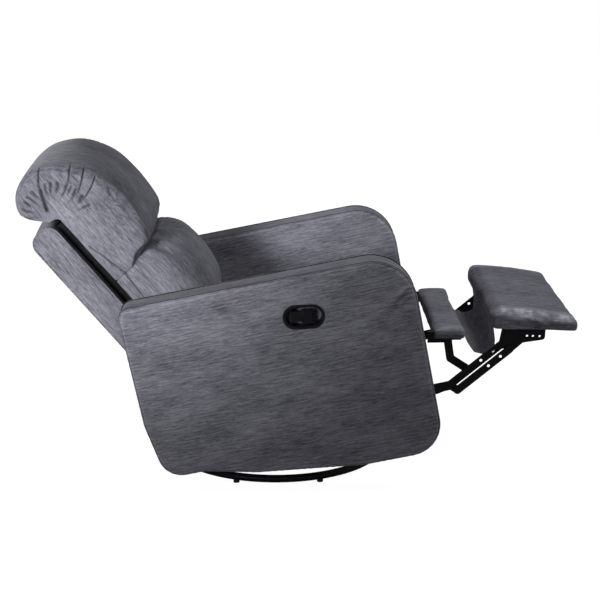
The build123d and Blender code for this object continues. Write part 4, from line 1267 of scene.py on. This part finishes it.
def makePad(name, pad, place, body, node):
    rings = ringsAlong(lambda *form: padProfile(pad, *form), pad["stations"], pad["half"])
    piece = sleeve(name, rings)
    plump(piece, pad, lambda spots: smoothStep(spots[:, 2], *pad["freeFrom"]))
    spots = points(piece)
    slacken(piece, pad)
    # painted highlight: the top is lightened in patches near both ends of the pad
    inset = pad["half"] - np.abs(spots[:, 1])
    highlight = 1 - smoothStep(inset, pad["highlightFrom"], pad["highlightReach"])
    highlight *= smoothStep(normals(piece)[:, 2], *pad["highlightFacing"])
    small = pad["smallShare"] * ripple(spots, pad["smallPatches"])
    patches = ripple(spots, pad["broadPatches"]) + small
    highlight *= np.clip(pad["patchLevel"] + pad["patchSwing"] * patches, 0, 1)
    paintShading(piece, -pad["paintedHighlightTone"] * highlight)
    layWeave(piece, lambda spots, facing: (spots[:, 0], spots[:, 1] * pad["weaveThin"] + spots[:, 2]))
    fitIn(piece, place, body, "upholstery", node)


makePad("footrestCushion", footPad, padPlace, "footrest", "footrest_pad")
makePad("midCushion", midPad, midPlace, "mid_rest", "mid_pad")
print("pads done")

# cloth that closes the gap between the two pads, sewn under the calf edge
flap = {
    "anchor": (0.6005, 0, 0.2995),
    "route": (
        (0.6085, 0.3015),
        (0.6005, 0.2955),
        (0.5995, 0.2775),
        (0.5985, 0.2535),
        (0.5905, 0.2225),
        (0.5653, 0.2185),
        (0.5393, 0.2305),
        (0.5273, 0.2578),
        (0.5233, 0.2738),
    ),
    "half": 0.214,
    "seamLine": 0.022,
    "seamFade": 0.006,
    "paintedHighlightTone": 0.3,
    "slant": 0.1,  # folded away, it lies between the tube and the seat rail
    "keep": 0.05,
    "cells": (70, 110),
    "soften": 0.5,
    "softenRounds": 5,
}
flapRoute = np.array(flap["route"])
flapCloth = newGrid("calfFlap", *flap["cells"])
reach = np.concatenate([[0], np.cumsum(np.hypot(*np.diff(flapRoute, axis=0).T))])
spots = points(flapCloth)
share = (spots[:, 0] + 0.5) * reach[-1]
across = spots[:, 1] * 2 * flap["half"]
laid = np.stack(
    [np.interp(share, reach, flapRoute[:, 0]), across, np.interp(share, reach, flapRoute[:, 1])], 1
)
movePoints(flapCloth, laid)
# painted shade as a dark line along the seam under the pad's edge, and painted light over the rest of
# the flap
pastSeam = smoothStep(share, flap["seamLine"] - flap["seamFade"], flap["seamLine"] + flap["seamFade"])
paintShading(flapCloth, 1 - (1 + flap["paintedHighlightTone"]) * pastSeam)
soften = flapCloth.modifiers.new("soften", "SMOOTH")
soften.factor = flap["soften"]
soften.iterations = flap["softenRounds"]
applyModifiers(flapCloth)
bpy.ops.object.shade_smooth()
layWeave(flapCloth, lambda spots, facing: (spots[:, 1], spots[:, 2] - spots[:, 0]))
fitIn(flapCloth, chairPlace, "footrest", "upholstery", "calf_flap")
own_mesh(flapCloth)
print("flap hung")

# release cable from the lever cup to the mechanism
cableRun = {
    "route": (
        (0.132, -0.336, 0.451),
        (0.132, -0.312, 0.451),
        (0.173, -0.312, 0.31),
        (0.173, -0.256, 0.31),
    ),
    "diameter": 0.006,
    "length": 0.2,
    "order": 3,
    "steps": 16,
    "roundSteps": 3,
}
deselectAll()
bpy.ops.curve.primitive_nurbs_path_add()
cable = bpy.context.object
cable.name = "releaseCable"
route = [chairPlace @ Vector(p) for p in cableRun["route"]]
cable.data.splines.clear()
spline = cable.data.splines.new("NURBS")
spline.points.add(len(route) - 1)
for knot, place in zip(spline.points, route):
    knot.co = (*place, 1)
spline.order_u = cableRun["order"]
spline.use_endpoint_u = True
spline.resolution_u = cableRun["steps"]
cable.data.dimensions = "3D"
cable.data.bevel_depth = cableRun["diameter"] / 2
cable.data.bevel_resolution = cableRun["roundSteps"]
cable.data.use_fill_caps = True
dress(cable, "chassis", "black_plastic", "release_cable")
print("cable run")

# studio: pale floor, soft key from the near left, white surround
studio = {
    "floorSide": 14.0,
    "floor": {"Base Color": (0.9, 0.9, 0.9, 1), "Roughness": 1.0, "Specular IOR Level": 0.0},
    "floorGlow": 1.38,
    "glowShare": 0.7,
    "ambient": 0.155,
    "glossyShare": 0.8,
}
lamps = {
    "keyLight": {
        "place": (-1.45, -2.35, 0.95),
        "aim": (-0.47, -0.26, 0.72),
        "size": 0.8,
        "power": 5.9,
        "spread": 30,
        "tint": (1, 1, 1),
    },
    "topLight": {
        "place": (1.8, -0.53, 3.15),
        "aim": (0.05, 0, 0.42),
        "size": 2.2,
        "power": 44,
        "spread": 180,
        "tint": (0.95, 0.955, 1),
    },
    "fillLight": {
        "place": (0.8, -0.5, 1.3),
        "aim": (0.15, 0.27, 0.42),
        "size": 0.7,
        "power": 1.5,
        "spread": 79,
        "tint": (1, 1, 1),
    },
}
deselectAll()
bpy.ops.mesh.primitive_plane_add(size=studio["floorSide"])
floor = bpy.context.object
floor.name = "studioFloor"
floorFinish, nodes, links = newMaterial("paleFloor")
shader = nodes["Principled BSDF"]
setSurface(shader, studio["floor"])
glow = nodes.new("ShaderNodeEmission")
glow.inputs["Strength"].default_value = studio["floorGlow"]
seen = nodes.new("ShaderNodeLightPath")
veil = mathOn(nodes, "MULTIPLY", studio["glowShare"])
mix = nodes.new("ShaderNodeMixShader")
links.new(seen.outputs["Is Camera Ray"], veil.inputs[0])
links.new(veil.outputs[0], mix.inputs["Fac"])
links.new(shader.outputs["BSDF"], mix.inputs[1])
links.new(glow.outputs["Emission"], mix.inputs[2])
links.new(mix.outputs["Shader"], nodes["Material Output"].inputs["Surface"])
floor.data.materials.append(floorFinish)

world = bpy.data.worlds.new("studioWorld")
bpy.context.scene.world = world
world.use_nodes = True
nodes, links = world.node_tree.nodes, world.node_tree.links
background = nodes["Background"]
background.inputs["Color"].default_value = (1, 1, 1, 1)
seen = nodes.new("ShaderNodeLightPath")
either = mathOn(nodes, "MAXIMUM")
glossySoft = mathOn(nodes, "MULTIPLY", studio["glossyShare"])
level = nodes.new("ShaderNodeMapRange")
level.inputs["To Min"].default_value = studio["ambient"]
level.inputs["To Max"].default_value = 1.0
links.new(seen.outputs["Is Glossy Ray"], glossySoft.inputs[0])
links.new(seen.outputs["Is Camera Ray"], either.inputs[0])
links.new(glossySoft.outputs[0], either.inputs[1])
links.new(either.outputs[0], level.inputs["Value"])
links.new(level.outputs["Result"], background.inputs["Strength"])


def turnedTo(sight):
    return sight.to_track_quat("-Z", "Y").to_euler()


for name, look in lamps.items():
    deselectAll()
    bpy.ops.object.light_add(type="AREA", location=look["place"])
    lamp = bpy.context.object
    lamp.name = name
    lamp.data.shape = "DISK"
    lamp.data.size = look["size"]
    lamp.data.energy = look["power"]
    lamp.data.color = look["tint"]
    lamp.data.spread = math.radians(look["spread"])
    lamp.rotation_euler = turnedTo(Vector(look["aim"]) - Vector(look["place"]))
bpy.context.scene.view_settings.view_transform = "Standard"

viewpoint = {
    "place": (-0.0367, -4.1533, 1.4818),
    "elevation": 14.3688,
    "azimuth": 1.3658,
    "lens": 96,
    "sensor": 36,
}
elevation, azimuth = math.radians(viewpoint["elevation"]), math.radians(viewpoint["azimuth"])
sight = Vector(
    (
        math.sin(azimuth) * math.cos(elevation),
        math.cos(azimuth) * math.cos(elevation),
        -math.sin(elevation),
    )
)
deselectAll()
bpy.ops.object.camera_add(location=viewpoint["place"], rotation=turnedTo(sight))
camera = bpy.context.object
camera.data.lens = viewpoint["lens"]
camera.data.sensor_width = viewpoint["sensor"]
bpy.context.scene.camera = camera
print("studio ready")
